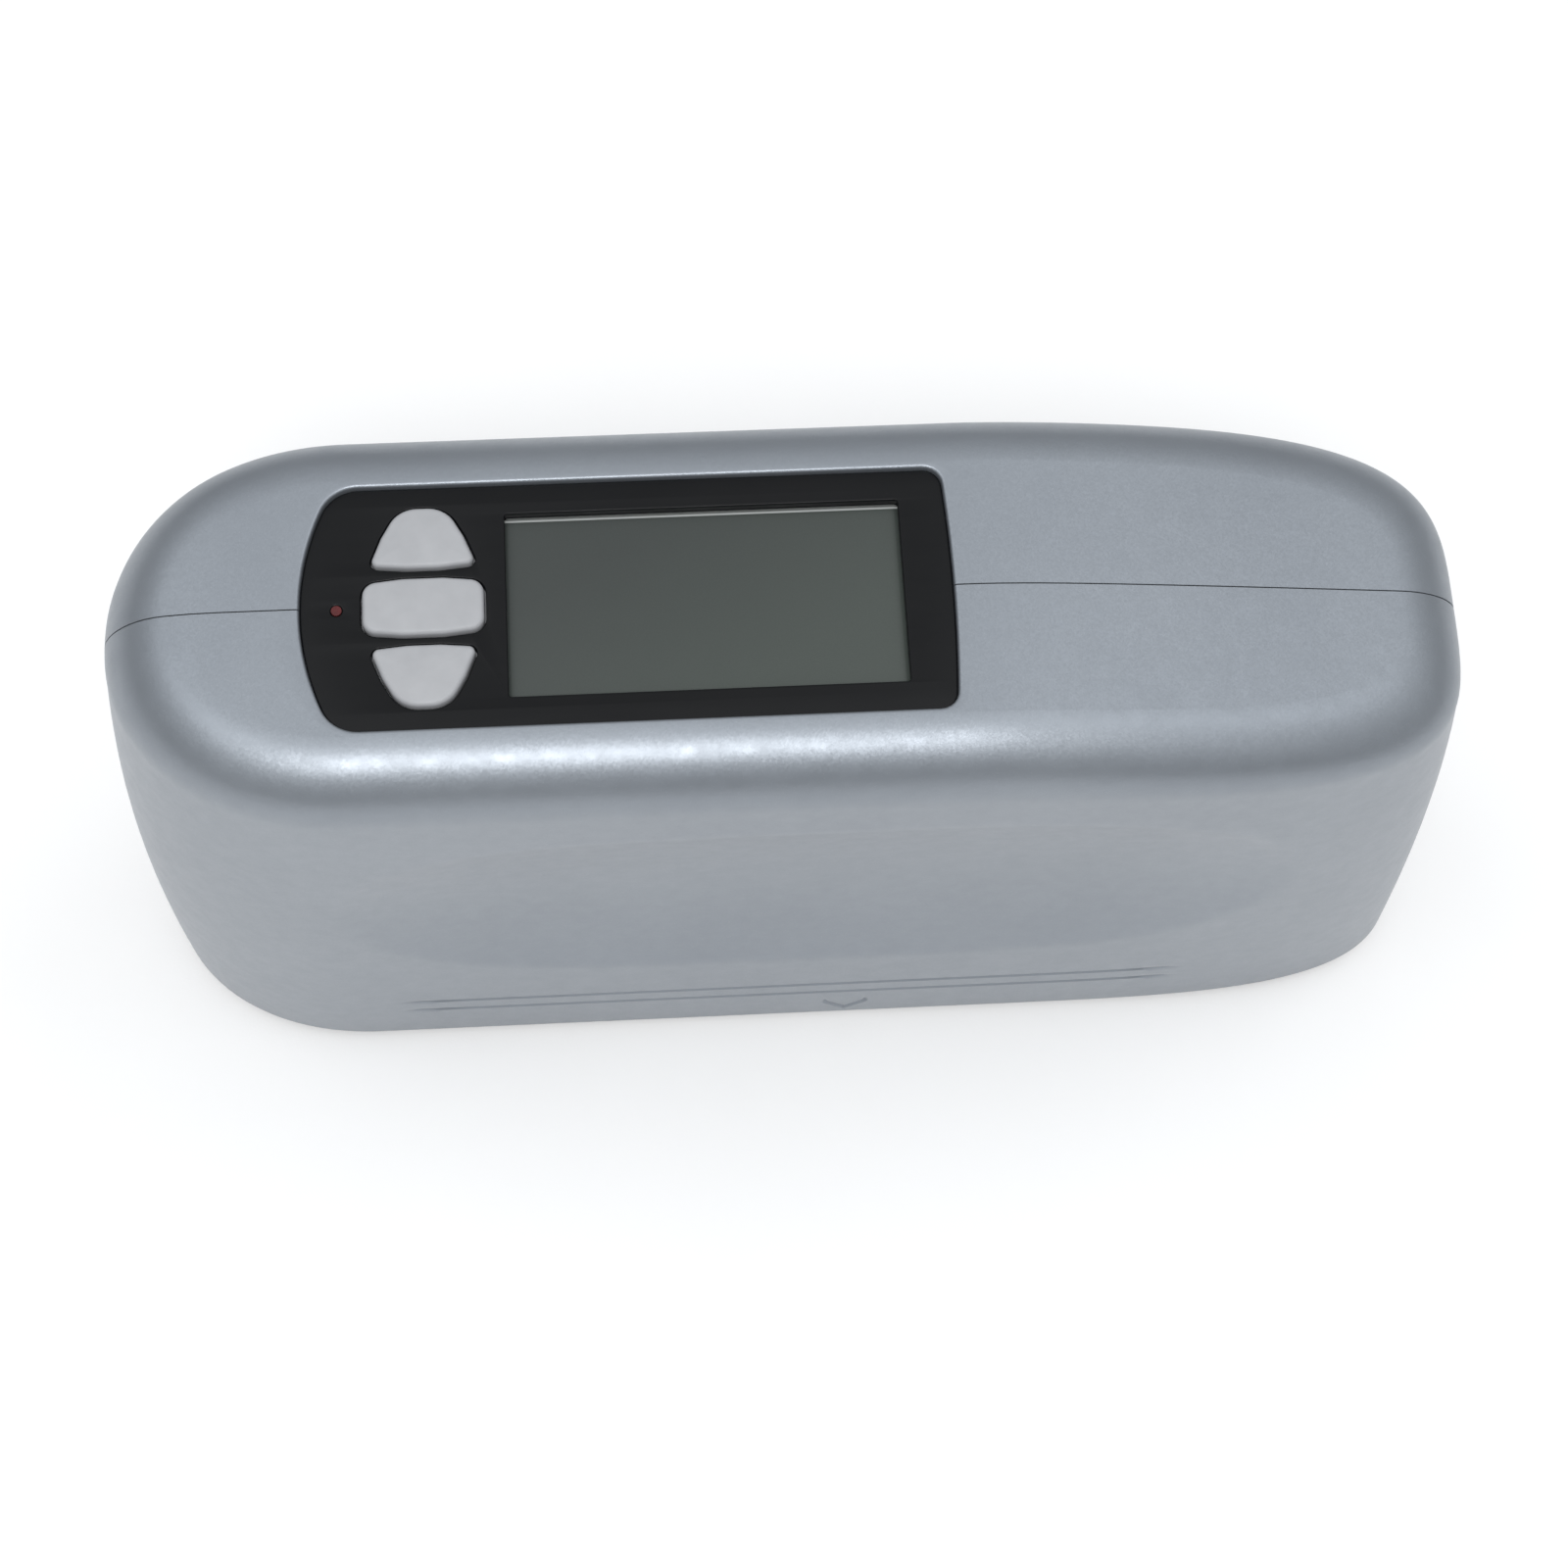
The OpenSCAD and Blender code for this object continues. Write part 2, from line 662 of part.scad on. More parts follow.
module holder_screws() {
    color("#8d9094") for (s = [-1, 1])
        translate([s * holder_screw_x, holder_back - 5, cell_z]) rotate([-90, 0, 0])
        pan_screw(2, 0.9, 0.95, 6.1);
}

// a wire as straight runs with a ball at each corner
module wire(route, r) {
    for (i = [0:len(route) - 2]) {
        d = route[i + 1] - route[i];
        translate(route[i]) rotate([0, acos(d[2] / norm(d)), atan2(d[1], d[0])])
            cylinder(r = r, h = norm(d), $fn = 16);
    }
    for (i = [1:len(route) - 2]) translate(route[i]) sphere(r = 1.15 * r, $fn = 24);
}

// point on a beam's axis
function beam_point(side, dist, y) =
    [port_x + side * dist * sin(beam_angle), y, dist * cos(beam_angle)];

module lamp_leads() {
    color("#b03a2e") for (y = [-1.6, 1.6])
        wire([beam_point(-1, beam_len + 1.2, y), beam_point(-1, beam_len + 5, y),
            [beam_point(-1, beam_len + 5, y)[0], y, board_bottom]], 0.45);
}

module sensor_leads() {
    color("#2e5fb0") for (y = [-1.6, 1.6])
        wire([beam_point(1, beam_len + 1.2, y), beam_point(1, beam_len + 2.8, y),
            [34, y, board_bottom - 0.3]], 0.45);
}

module battery_leads() {
    color("#b03a2e")
        for (x = lead_x)
            wire([[x, cell_y - 4, cell_z + 5], [x, cell_y - 4, board_bottom]], 0.24);
}

front_shell();
rear_shell();
base_plate();
display_panel();
button_up();
button_ok();
button_down();
plunger_up();
plunger_ok();
plunger_down();
switch_up();
switch_ok();
switch_down();
light_pipe();
status_led();
lcd_glass();
lcd_holder();
contact_strips();
main_board();
board_parts();
optical_block();
lamp_led();
condenser_lens();
source_stop();
collimator_lens();
lamp_board();
receiver_lens();
receiver_stop();
filter_glass();
photodiode();
sensor_board();
battery_holder();
battery_cell();
contact_spring();
contact_plate();
battery_door();
case_screws();
base_screws();
optics_screws();
holder_screws();
lamp_leads();
sensor_leads();
battery_leads();
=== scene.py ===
import json
import math

import bmesh
import bpy
import numpy as np
from mathutils import Matrix, Vector


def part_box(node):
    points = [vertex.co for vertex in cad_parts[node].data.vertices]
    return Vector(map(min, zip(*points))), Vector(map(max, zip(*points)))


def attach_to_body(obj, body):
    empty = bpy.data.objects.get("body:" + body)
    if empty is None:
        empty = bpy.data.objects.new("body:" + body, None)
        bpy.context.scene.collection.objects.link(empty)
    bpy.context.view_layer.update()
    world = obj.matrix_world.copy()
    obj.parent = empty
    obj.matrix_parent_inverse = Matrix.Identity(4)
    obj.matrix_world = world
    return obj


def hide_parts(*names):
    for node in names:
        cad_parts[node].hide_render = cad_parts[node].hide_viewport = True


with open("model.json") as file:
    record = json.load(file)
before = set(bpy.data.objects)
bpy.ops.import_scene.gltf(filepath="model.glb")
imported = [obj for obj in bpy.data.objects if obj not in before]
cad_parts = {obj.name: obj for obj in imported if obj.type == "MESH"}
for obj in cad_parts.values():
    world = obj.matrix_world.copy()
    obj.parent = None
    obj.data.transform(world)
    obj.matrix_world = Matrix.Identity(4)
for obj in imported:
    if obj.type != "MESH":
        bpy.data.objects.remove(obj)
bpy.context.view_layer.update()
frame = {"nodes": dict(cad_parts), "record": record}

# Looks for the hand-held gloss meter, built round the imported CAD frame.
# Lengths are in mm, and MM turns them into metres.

MM = 0.001


def node_box(node):
    """Lowest and highest corner of a CAD node, in mm."""
    low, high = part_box(node)
    return np.array(low) / MM, np.array(high) / MM


# ---- driving sizes, mm
case_low, case_high = node_box("front_shell")
panel_low, panel_high = node_box("display_panel")
glass_low, glass_high = node_box("lcd_glass")
base_high = node_box("base_plate")[1]
door_high = node_box("battery_door")[1]

CASE_H = case_high[2]
CASE_BOTTOM = case_low[2]
TOP_HALF_W = 15.7
SIDE_TAPER = 1.0
TOP_LEFT, FLARE_LEFT, BULGE_LEFT = 53.9, 3.0, 1.2
TOP_RIGHT, FLARE_RIGHT, BULGE_RIGHT = 51.1, 5.9, 0.6
ROUND_LEFT, POWER_LEFT = 18.8, 2.09
ROUND_RIGHT, POWER_RIGHT = 39.1, 3.73
EDGE_R = 5.3
WALL, TOP_WALL = 2.2, 2.5
SEAM_GAP, SEAM_WIDENING = 0.1, 0.26
CROWN_START, CROWN_SLOPE, CROWN_BLEND = 11.4, 0.16, 7.3
CROWN_LEFT_START, CROWN_LEFT_BEND = 44.6, 0.02

DISH_X, DISH_Z = 1.0, 36.0
DISH_HALF_LEN, DISH_HALF_H = 39.5, 17.0
DISH_FRONT, DISH_REAR = 1.9, 1.2
DISH_INSIDE = 0.6           # share of the front dish that the wall's inside follows

PANEL_LEFT, PANEL_RIGHT = panel_low[0], panel_high[0]
PANEL_HALF = panel_high[1]
PANEL_TOP, PANEL_BOTTOM = panel_high[2], panel_low[2]
PANEL_BOW_LEFT, PANEL_R_LEFT = 1.4, 3.0
PANEL_BOW_RIGHT, PANEL_R_RIGHT = 0.3, 1.4
PANEL_GAP = 0.05
RIM_FILLET = 0.25
LEDGE = 1.3

PORT_X = 4.5
GROOVE_HEIGHTS = (8.1, 10.7)
GROOVE_START, GROOVE_END, GROOVE_RUN_OUT = -35.5, 34.5, 5.0
GROOVE_HALF_W, GROOVE_DEPTH = 0.36, 0.5
MARK_LOW, MARK_ARM, MARK_RISE = 2.8, 1.75, 1.8
MARK_HALF_W, MARK_DEPTH = 0.33, 0.35

BAY_HALF, BAY_LOW, BAY_HIGH, BAY_CORNER = 27.0, 34.0, door_high[2], 2.5
BAY_GAP = 0.2
HINGE_Y, HINGE_Z = 13.3, BAY_LOW + 0.9
PIN_R, PIN_END = 0.7, door_high[0]
CASE_SCREWS = ((-36, 7), (38, 7), (-38, 46), (34, 46))
SCREW_WELL_R, SCREW_WELL_FLOOR = 2.7, 6.0

BUTTON_X, BUTTON_PITCH, BUTTON_LEN = -29.2, 5.7, 9.1
BUTTON_GAP = 0.15
FLANGE_REACH = {1: (2.9, 8.3), 0: (-2.6, 2.6), -1: (-8.3, -2.9)}   # lowest and highest y
PIPE_R = 0.4
WINDOW = (-23.0, 7.0, 7.5)  # left, right, half width


# ---- the case's surface
def bulge(t):
    return 4 * t * (1 - t)


def depth_at(z):
    """0 at the top edge's lower rim, 1 at the base."""
    return 1 - np.clip(z, 0, CASE_H - EDGE_R) / (CASE_H - EDGE_R)


def end_point(angle, length, half_w, round_len, power):
    """Point on a superellipse end: distance along the case and distance from its middle plane."""
    along = length - round_len + round_len * max(0.0, math.cos(angle)) ** (2 / power)
    return along, half_w * max(0.0, math.sin(angle)) ** (2 / power)


def plan_point(station, t, inset):
    """Plan point of a station (kind, value) on the front half's outline, drawn in by inset."""
    kind, value = station
    half_w = TOP_HALF_W - SIDE_TAPER * t - inset
    right = TOP_RIGHT + FLARE_RIGHT * t + BULGE_RIGHT * bulge(t) - inset
    left = TOP_LEFT + FLARE_LEFT * t + BULGE_LEFT * bulge(t) - inset
    round_right, round_left = ROUND_RIGHT - inset, ROUND_LEFT - inset
    if kind == "right":
        x, y = end_point(value, right, half_w, round_right, POWER_RIGHT)
        return x, -y
    if kind == "left":
        x, y = end_point(value, left, half_w, round_left, POWER_LEFT)
        return -x, -y
    start, end = right - round_right, round_left - left
    return start + (end - start) * value, -half_w


def crown(x):
    """How far the top has fallen at x."""
    right = max(0.0, x - CROWN_START)
    left = max(0.0, -x - CROWN_LEFT_START)
    return (CROWN_SLOPE * (math.hypot(right, CROWN_BLEND) - CROWN_BLEND)
            + CROWN_LEFT_BEND * left * left)


def lifted(x, z):
    """Height of a point at level z once the crown is applied."""
    return z - crown(x) * (max(0.0, z) / CASE_H) ** 3


def dish(x, z, deepest):
    """Depth of the finger dish, with its rim slightly softened."""
    depth = deepest * (1 - (abs(x - DISH_X) / DISH_HALF_LEN) ** 4
                          - ((z - DISH_Z) / DISH_HALF_H) ** 2)
    soft = 0.05
    return 0.5 * (depth + math.hypot(depth, soft)) if depth > -1 else 0.0


def groove(x, z):
    """Depth of the two fine grooves, which run out at both ends."""
    run = min(x - GROOVE_START, GROOVE_END - x) / GROOVE_RUN_OUT
    if run <= 0:
        return 0.0
    nearest = min(abs(z - height) for height in GROOVE_HEIGHTS)
    return GROOVE_DEPTH * min(1.0, run) * max(0.0, 1 - nearest / GROOVE_HALF_W)


def port_mark(x, z):
    """Depth of the small arrow head over the measuring port."""
    across = abs(x - PORT_X)
    slope = MARK_RISE / MARK_ARM
    off = abs(z - MARK_LOW - across * slope) / math.hypot(1, slope)
    past = max(0.0, across - MARK_ARM)
    return MARK_DEPTH * max(0.0, 1 - (math.hypot(off, past) / MARK_HALF_W) ** 2)


def spaced(stops, step):
    """Values through all stops, no further apart than step."""
    values = [stops[0]]
    for low, high in zip(stops, stops[1:]):
        count = max(1, math.ceil(abs(high - low) / step - 1e-6))
        values += [low + (high - low) * (i + 1) / count for i in range(count)]
    return values


def even_angles(kind, count, start, end):
    """Stations on a rounded end with even spacing along the outline between two angles."""
    fine = [start + (end - start) * (i / 2000) ** 2 for i in range(2001)]
    if start > end:
        fine = [end + (start - end) * (1 - i / 2000) ** 2 for i in range(2001)]
    points = np.array([plan_point((kind, a), 0.3, 0) for a in fine])
    run = np.concatenate([[0], np.cumsum(np.hypot(*np.diff(points, axis=0).T))])
    return [(kind, float(np.interp(run[-1] * i / count, run, fine))) for i in range(count + 1)]


RIGHT_CORNER = math.radians(42)
END_CELLS = 34      # from the right tip to the corner of its outline
SIDE_CELLS = 46     # from that corner to the straight flank
LEFT_CELLS = 44     # round the left end
RIM_ROWS = 5        # rows between the rounded edge and the panel's recess
EDGE_CELLS = END_CELLS - RIM_ROWS   # along the panel's right edge
EDGE_STEPS, FILLET_STEPS = 12, 4
FLANK_STEP, MARK_STEP = 0.016, 0.0018


def straight_share(x, t=0.0):
    """Share of the straight flank at which it is at x, at depth t."""
    start, end = (plan_point(("straight", value), t, 0)[0] for value in (0, 1))
    return (start - x) / (start - end)


def outline_stations(with_mark):
    """Stations from the right tip to the left tip, and which one meets the panel's right edge."""
    tip = even_angles("right", END_CELLS, 0.0, RIGHT_CORNER)
    side = even_angles("right", SIDE_CELLS, RIGHT_CORNER, math.pi / 2)[1:]
    share = straight_share(PANEL_RIGHT)
    near = [("straight", share * i / 2) for i in (1, 2)]
    values = spaced([share, 1.0], FLANK_STEP)
    if with_mark:
        reach = MARK_ARM + 0.6
        low, high = (straight_share(PORT_X + s * reach, depth_at(MARK_LOW)) for s in (1, -1))
        fine = spaced([low, high], MARK_STEP)[1:]
        values = spaced([share, low], FLANK_STEP) + fine + spaced([high, 1.0], FLANK_STEP)[1:]
    flank = [("straight", value) for value in values[1:]]
    left = even_angles("left", LEFT_CELLS, math.pi / 2, 0.0)[1:]
    meet = len(tip) + len(side) + len(near) - 1
    return tip + side + near + flank + left, meet


def bowed_edge(edge, inward, bow, radius, count, grow):
    """Front half of a bowed end of the panel and its corner, evenly stepped and grown outward."""
    deep, high = bow + radius, PANEL_HALF - radius
    arc_r = (deep ** 2 + high ** 2 - radius ** 2) / (2 * (deep - radius))
    turn = math.asin(high / (arc_r - radius))
    arc_len, corner_len = arc_r * turn, radius * (math.pi / 2 - turn)
    points = []
    for i in range(count + 1):
        run = (arc_len + corner_len) * i / count
        if run <= arc_len:
            angle, reach, x, y = run / arc_r, arc_r + grow, edge + inward * arc_r, 0
        else:
            angle, reach, x, y = turn + (run - arc_len) / radius, radius + grow, edge + inward * deep, -high
        points.append((x - inward * reach * math.cos(angle), y - reach * math.sin(angle)))
    return points


def panel_ends(count_right, count_left, grow):
    """The front halves of the panel's right end, from its middle, and of its left end, to its middle."""
    right = bowed_edge(PANEL_RIGHT, -1, PANEL_BOW_RIGHT, PANEL_R_RIGHT, count_right, grow)
    left = bowed_edge(PANEL_LEFT, 1, PANEL_BOW_LEFT, PANEL_R_LEFT, count_left, grow)
    return right, left[::-1]


WELD = 0.0005       # points closer than this become one


class Grid:
    """Mesh points and faces gathered in lists, with points in mm."""

    def __init__(self):
        self.points = []
        self.faces = []

    def point(self, x, y, z):
        self.points.append((x, y, z))
        return len(self.points) - 1

    def strip(self, first, second):
        for a, b, c, d in zip(first, first[1:], second[1:], second):
            self.faces.append((a, b, c, d))

    def sheet(self, rows):
        for first, second in zip(rows, rows[1:]):
            self.strip(first, second)

    def tube(self, rings):
        for first, second in zip(rings, rings[1:]):
            self.strip(first + first[:1], second + second[:1])

    def mesh(self, name, smooth_angle=35):
        """The gathered faces as one closed object in metres."""
        bm = bmesh.new()
        verts = [bm.verts.new(Vector(p) * MM) for p in self.points]
        for face in self.faces:
            if len(set(face)) > 2:
                bm.faces.new([verts[i] for i in dict.fromkeys(face)])
        bmesh.ops.delete(bm, geom=[v for v in bm.verts if not v.link_faces], context="VERTS")
        bmesh.ops.remove_doubles(bm, verts=bm.verts, dist=WELD * MM)
        bmesh.ops.recalc_face_normals(bm, faces=bm.faces)
        return object_from(bm, name, smooth_angle)


def object_from(bm, name, smooth_angle=35):
    mesh = bpy.data.meshes.new(name)
    bm.to_mesh(mesh)
    bm.free()
    piece = bpy.data.objects.new(name, mesh)
    bpy.context.scene.collection.objects.link(piece)
    shade(piece, smooth_angle)
    return piece


def shade(piece, smooth_angle):
    piece.data.shade_smooth()
    piece.data.set_sharp_from_angle(angle=math.radians(smooth_angle))


def side_heights(with_marks):
    """Heights of the rows up the side, closer together across the grooves and the mark."""
    top = CASE_H - EDGE_R
    if not with_marks:
        return spaced([CASE_BOTTOM, top], 0.75)
    cuts = [height + GROOVE_HALF_W * s for height in GROOVE_HEIGHTS for s in (-1, -0.5, 0, 0.5, 1)]
    mark = [MARK_LOW - 0.5 + 0.125 * i for i in range(22)]
    stops = [CASE_BOTTOM] + mark + cuts
    return spaced(stops, 0.8) + spaced([cuts[-1], top], 0.7)[1:]


def between(first, second, share):
    return tuple(a + (b - a) * share for a, b in zip(first, second))


def patch_point(near, far, low, seam, row, share):
    """Point of a four-sided patch: straight from low to seam, pulled towards its two bent borders."""
    near_share, far_share = near[row][1] / near[0][1], far[row][1] / far[0][1]
    climb = 1 - (near_share * (1 - share) + far_share * share)
    near_pull = near[row] - (near[0] + (near[-1] - near[0]) * (1 - near_share))
    far_pull = far[row] - (far[0] + (far[-1] - far[0]) * (1 - far_share))
    return low + (seam - low) * climb + near_pull * (1 - share) ** 4 + far_pull * share ** 4


class HalfCase:
    """One half of the case as a closed shell; side is -1 for the front and 1 for the rear."""

    def __init__(self, side):
        self.side, self.front = side, side < 0
        self.grid = Grid()
        self.stations, self.meet = outline_stations(self.front)
        self.rim = [plan_point(station, 0.0, EDGE_R) for station in self.stations]

    def add(self, x, y, z):
        """A point drawn for the front half, kept off the seam and put on its own side."""
        down = min(1.0, depth_at(z) / 0.25)
        seam = (SEAM_GAP + SEAM_WIDENING * down) / 2
        return self.grid.point(x, min(y, -seam) * -self.side, z)

    def add_top(self, place, height):
        x, y = place
        return self.add(x, y, height - crown(x))

    def wall_point(self, station, z, inner):
        x, y = plan_point(station, depth_at(z), WALL if inner else 0)
        deepest, inside = (DISH_FRONT, DISH_INSIDE) if self.front else (DISH_REAR, 0)
        y += dish(x, z, deepest) * (inside if inner else 1)
        if self.front and not inner:
            y += groove(x, z) + port_mark(x, z)
        return self.add(x, y, lifted(x, z))

    def wall_rows(self, inner):
        """Rows up the side wall and over the rounded edge."""
        heights = side_heights(self.front)
        rows = [[self.wall_point(station, z, inner) for station in self.stations] for z in heights]
        drop, low = (TOP_WALL, WALL) if inner else (0, 0)
        for step in range(1, EDGE_STEPS + 1):
            angle = math.pi / 2 * step / EDGE_STEPS
            z = CASE_H - EDGE_R + (EDGE_R - drop) * math.sin(angle)
            inset = low + (EDGE_R - low) * (1 - math.cos(angle))
            plan = [plan_point(station, 0.0, inset) for station in self.stations]
            rows.append([self.add(x, y, lifted(x, z)) for x, y in plan])
        return rows

    def ring(self, grow):
        """The panel's outline, grown outward, with one point for each station it faces."""
        right, left = panel_ends(EDGE_CELLS, LEFT_CELLS, grow)
        straight = len(self.stations) - self.meet - LEFT_CELLS
        flank = [x for x, _ in self.rim[self.meet:self.meet + straight]]
        shares = [(x - flank[0]) / (flank[-1] - flank[0]) for x in flank[1:-1]]
        start, end = right[-1][0], left[0][0]
        bottom = [(start + (end - start) * share, -PANEL_HALF - grow) for share in shares]
        return right + bottom + left

    def top(self, rim, height):
        """The flat top: returns the panel's hole, the rows left of it and the line along the seam."""
        outline = self.ring(PANEL_GAP + RIM_FILLET)
        left_rows = [rim[self.meet:]]
        for row in range(1, RIM_ROWS + 1):
            pairs = zip(self.rim[self.meet:], outline[EDGE_CELLS:])
            left_rows.append([self.add_top(between(a, b, row / RIM_ROWS), height) for a, b in pairs])
        self.grid.sheet(left_rows)
        edge = outline[EDGE_CELLS - 1::-1]
        border = [row[0] for row in left_rows] + [self.add_top(place, height) for place in edge]
        rim_side = [between(self.rim[self.meet], outline[EDGE_CELLS], r / RIM_ROWS)
                    for r in range(RIM_ROWS + 1)]
        patch = self.right_patch(rim, border, np.array(rim_side + edge), height)
        self.grid.sheet(patch)
        hole = border[:RIM_ROWS - 1:-1] + left_rows[-1][1:]
        return hole, left_rows, [line[-1] for line in patch]

    def right_patch(self, rim, border, near, height):
        """Lines from the rim to the seam, between the panel's right edge and the right end."""
        far = np.array(self.rim[END_CELLS::-1])
        start, end = self.rim[self.meet][0], self.rim[END_CELLS][0]
        length = self.meet - END_CELLS
        lines = [border]
        for i in range(1, length):
            low = np.array(self.rim[self.meet - i])
            along = (low[0] - start) / (end - start)
            seam = np.array([near[-1][0] + (far[-1][0] - near[-1][0]) * along, 0.0])
            places = [patch_point(near, far, low, seam, r, i / length) for r in range(1, END_CELLS + 1)]
            lines.append([rim[self.meet - i]] + [self.add_top(place, height) for place in places])
        return lines + [rim[END_CELLS::-1]]

    def recess(self, hole, inner_hole):
        """A small fillet, the wall down to the panel's ledge, and the ledge."""
        rows = [hole]
        for i in range(1, FILLET_STEPS + 1):
            angle = math.pi / 2 * i / FILLET_STEPS
            grow = PANEL_GAP + RIM_FILLET * (1 - math.sin(angle))
            height = CASE_H - RIM_FILLET * (1 - math.cos(angle))
            rows.append([self.add_top(place, height) for place in self.ring(grow)])
        seat = PANEL_BOTTOM - 0.01
        for grow, z in ((PANEL_GAP, seat), (-LEDGE, seat), (-LEDGE, CASE_H - TOP_WALL)):
            rows.append([self.add(x, y, z) for x, y in self.ring(grow)])
        rows.append(inner_hole)
        self.grid.sheet(rows)
        return rows

    def mesh(self, name):
        outer, inner = self.wall_rows(False), self.wall_rows(True)
        self.grid.sheet(outer)
        self.grid.sheet(inner)
        self.grid.strip(outer[0], inner[0])
        hole, outer_left, outer_seam = self.top(outer[-1], CASE_H)
        inner_hole, inner_left, inner_seam = self.top(inner[-1], CASE_H - TOP_WALL)
        recess = self.recess(hole, inner_hole)
        # the faces at the seam, which close the shell
        for end in (0, -1):
            self.grid.strip([row[end] for row in outer], [row[end] for row in inner])
            self.grid.faces.append(tuple(row[end] for row in recess))
        self.grid.strip(outer_seam, inner_seam)
        self.grid.strip([row[-1] for row in outer_left], [row[-1] for row in inner_left])
        return self.grid.mesh(name)


# ---- solids for cutting and small parts
def rounded_outline(x0, x1, y0, y1, radii, steps=8):
    """Points round a rectangle, with a radius for each corner from the lower left, counterclockwise."""
    points = []
    corners = ((x0, y0, 1, 1, math.pi), (x1, y0, -1, 1, 1.5 * math.pi),
               (x1, y1, -1, -1, 0.0), (x0, y1, 1, -1, 0.5 * math.pi))
    for (x, y, sx, sy, start), radius in zip(corners, radii):
        cx, cy = x + sx * radius, y + sy * radius
        if radius == 0:
            points.append((x, y))
            continue
        for i in range(steps + 1):
            angle = start + math.pi / 2 * i / steps
            points.append((cx + radius * math.cos(angle), cy + radius * math.sin(angle)))
    return points


def stack(name, layers, smooth_angle=35):
    """A closed solid through outlines of equal count; each layer is a list of 3-D points."""
    grid = Grid()
    rows = [[grid.point(*p) for p in layer] for layer in layers]
    grid.tube(rows)
    grid.faces.append(tuple(rows[0]))
    grid.faces.append(tuple(rows[-1]))
    return grid.mesh(name, smooth_angle)


def along_y(outline, y):
    return [(p[0], y, p[1]) for p in outline]


def circle(cx, cy, radius, steps=40):
    angles = [2 * math.pi * i / steps for i in range(steps)]
    return [(cx + radius * math.cos(a), cy + radius * math.sin(a)) for a in angles]


def boolean(piece, cutter, operation):
    """Applies a boolean to piece and removes the cutter."""
    modifier = piece.modifiers.new("cut", "BOOLEAN")
    modifier.object = cutter
    modifier.operation = operation
    modifier.solver = "EXACT"
    depsgraph = bpy.context.evaluated_depsgraph_get()
    mesh = bpy.data.meshes.new_from_object(piece.evaluated_get(depsgraph))
    piece.modifiers.clear()
    old = piece.data
    piece.data = mesh
    mesh.name = piece.name
    bpy.data.meshes.remove(old)
    bpy.data.objects.remove(cutter)
    shade(piece, 35)


def bay_outline(grow, low):
    half, corner = BAY_HALF + grow, BAY_CORNER + grow
    return rounded_outline(-half, half, low, BAY_HIGH + grow, (0, 0, corner, corner), 10)


def join(name, pieces, smooth_angle=35):
    """One object from several closed pieces."""
    bm = bmesh.new()
    for piece in pieces:
        bm.from_mesh(piece.data)
        bpy.data.objects.remove(piece)
    return object_from(bm, name, smooth_angle)


def tube_solid(name, rings):
    """A body of revolution about Z: rings of (radius, height), closed at both ends."""
    layers = [[(x, y, height) for x, y in circle(0, 0, radius, 48)] for radius, height in rings]
    return stack(name, layers)


def moved(piece, matrix):
    """Applies a matrix given in mm to a piece's mesh."""
    scaled = matrix.copy()
    scaled.translation = matrix.translation * MM
    piece.data.transform(scaled)
    return piece


# ---- pieces of the case
def prism_along_y(name, outline, low, high):
    """A prism along Y between two distances, from an outline in X and Z."""
    return stack(name, [along_y(outline, low), along_y(outline, high)])


def rear_case():
    """The rear half, with the battery bay and the wells of its four screws cut through."""
    rear = HalfCase(1).mesh("rear_case")
    outer, inner = 20.0, 8.0
    for x, z in CASE_SCREWS:
        boolean(rear, prism_along_y("boss", circle(x, z, SCREW_WELL_R + 0.9), 0.1, 13.4), "UNION")
    for side in (-1, 1):
        x0, x1 = sorted((side * (BAY_HALF + BAY_GAP), side * (BAY_HALF + 2.6)))
        lug = rounded_outline(x0, x1, HINGE_Z - 1.4, HINGE_Z + 1.4, (0,) * 4)
        boolean(rear, prism_along_y("lug", lug, HINGE_Y - 1.5, HINGE_Y + 0.5), "UNION")
    surface = TOP_HALF_W - SIDE_TAPER / 2 - DISH_REAR
    layers = ((BAY_GAP, inner), (BAY_GAP, surface - 0.25), (BAY_GAP + 0.6, surface + 0.35),
              (BAY_GAP + 0.6, outer))
    cutter = stack("bay", [along_y(bay_outline(grow, BAY_LOW - grow), y) for grow, y in layers])
    boolean(rear, cutter, "DIFFERENCE")
    for x, z in CASE_SCREWS:
        well = prism_along_y("well", circle(x, z, SCREW_WELL_R), SCREW_WELL_FLOOR, outer)
        boolean(rear, well, "DIFFERENCE")
    pins = tube_solid("pins", [(PIN_R + 0.06, -PIN_END - 0.2), (PIN_R + 0.06, PIN_END + 0.2)])
    boolean(rear, moved(pins, hinge_place()), "DIFFERENCE")
    return rear


def hinge_place():
    """Puts a body of revolution about Z onto the door's hinge line."""
    return Matrix.Translation((0, HINGE_Y, HINGE_Z)) @ Matrix.Rotation(math.pi / 2, 4, "Y")


def rear_surface(x, z):
    """The rear wall's outside at x on the nearly straight flank, finger dish included."""
    t = depth_at(z)
    start = TOP_RIGHT + FLARE_RIGHT * t + BULGE_RIGHT * bulge(t) - ROUND_RIGHT
    fall = max(0.0, x - start) / ROUND_RIGHT
    half_w = (TOP_HALF_W - SIDE_TAPER * t) * (1 - fall ** POWER_RIGHT) ** (1 / POWER_RIGHT)
    return half_w - dish(x, z, DISH_REAR)


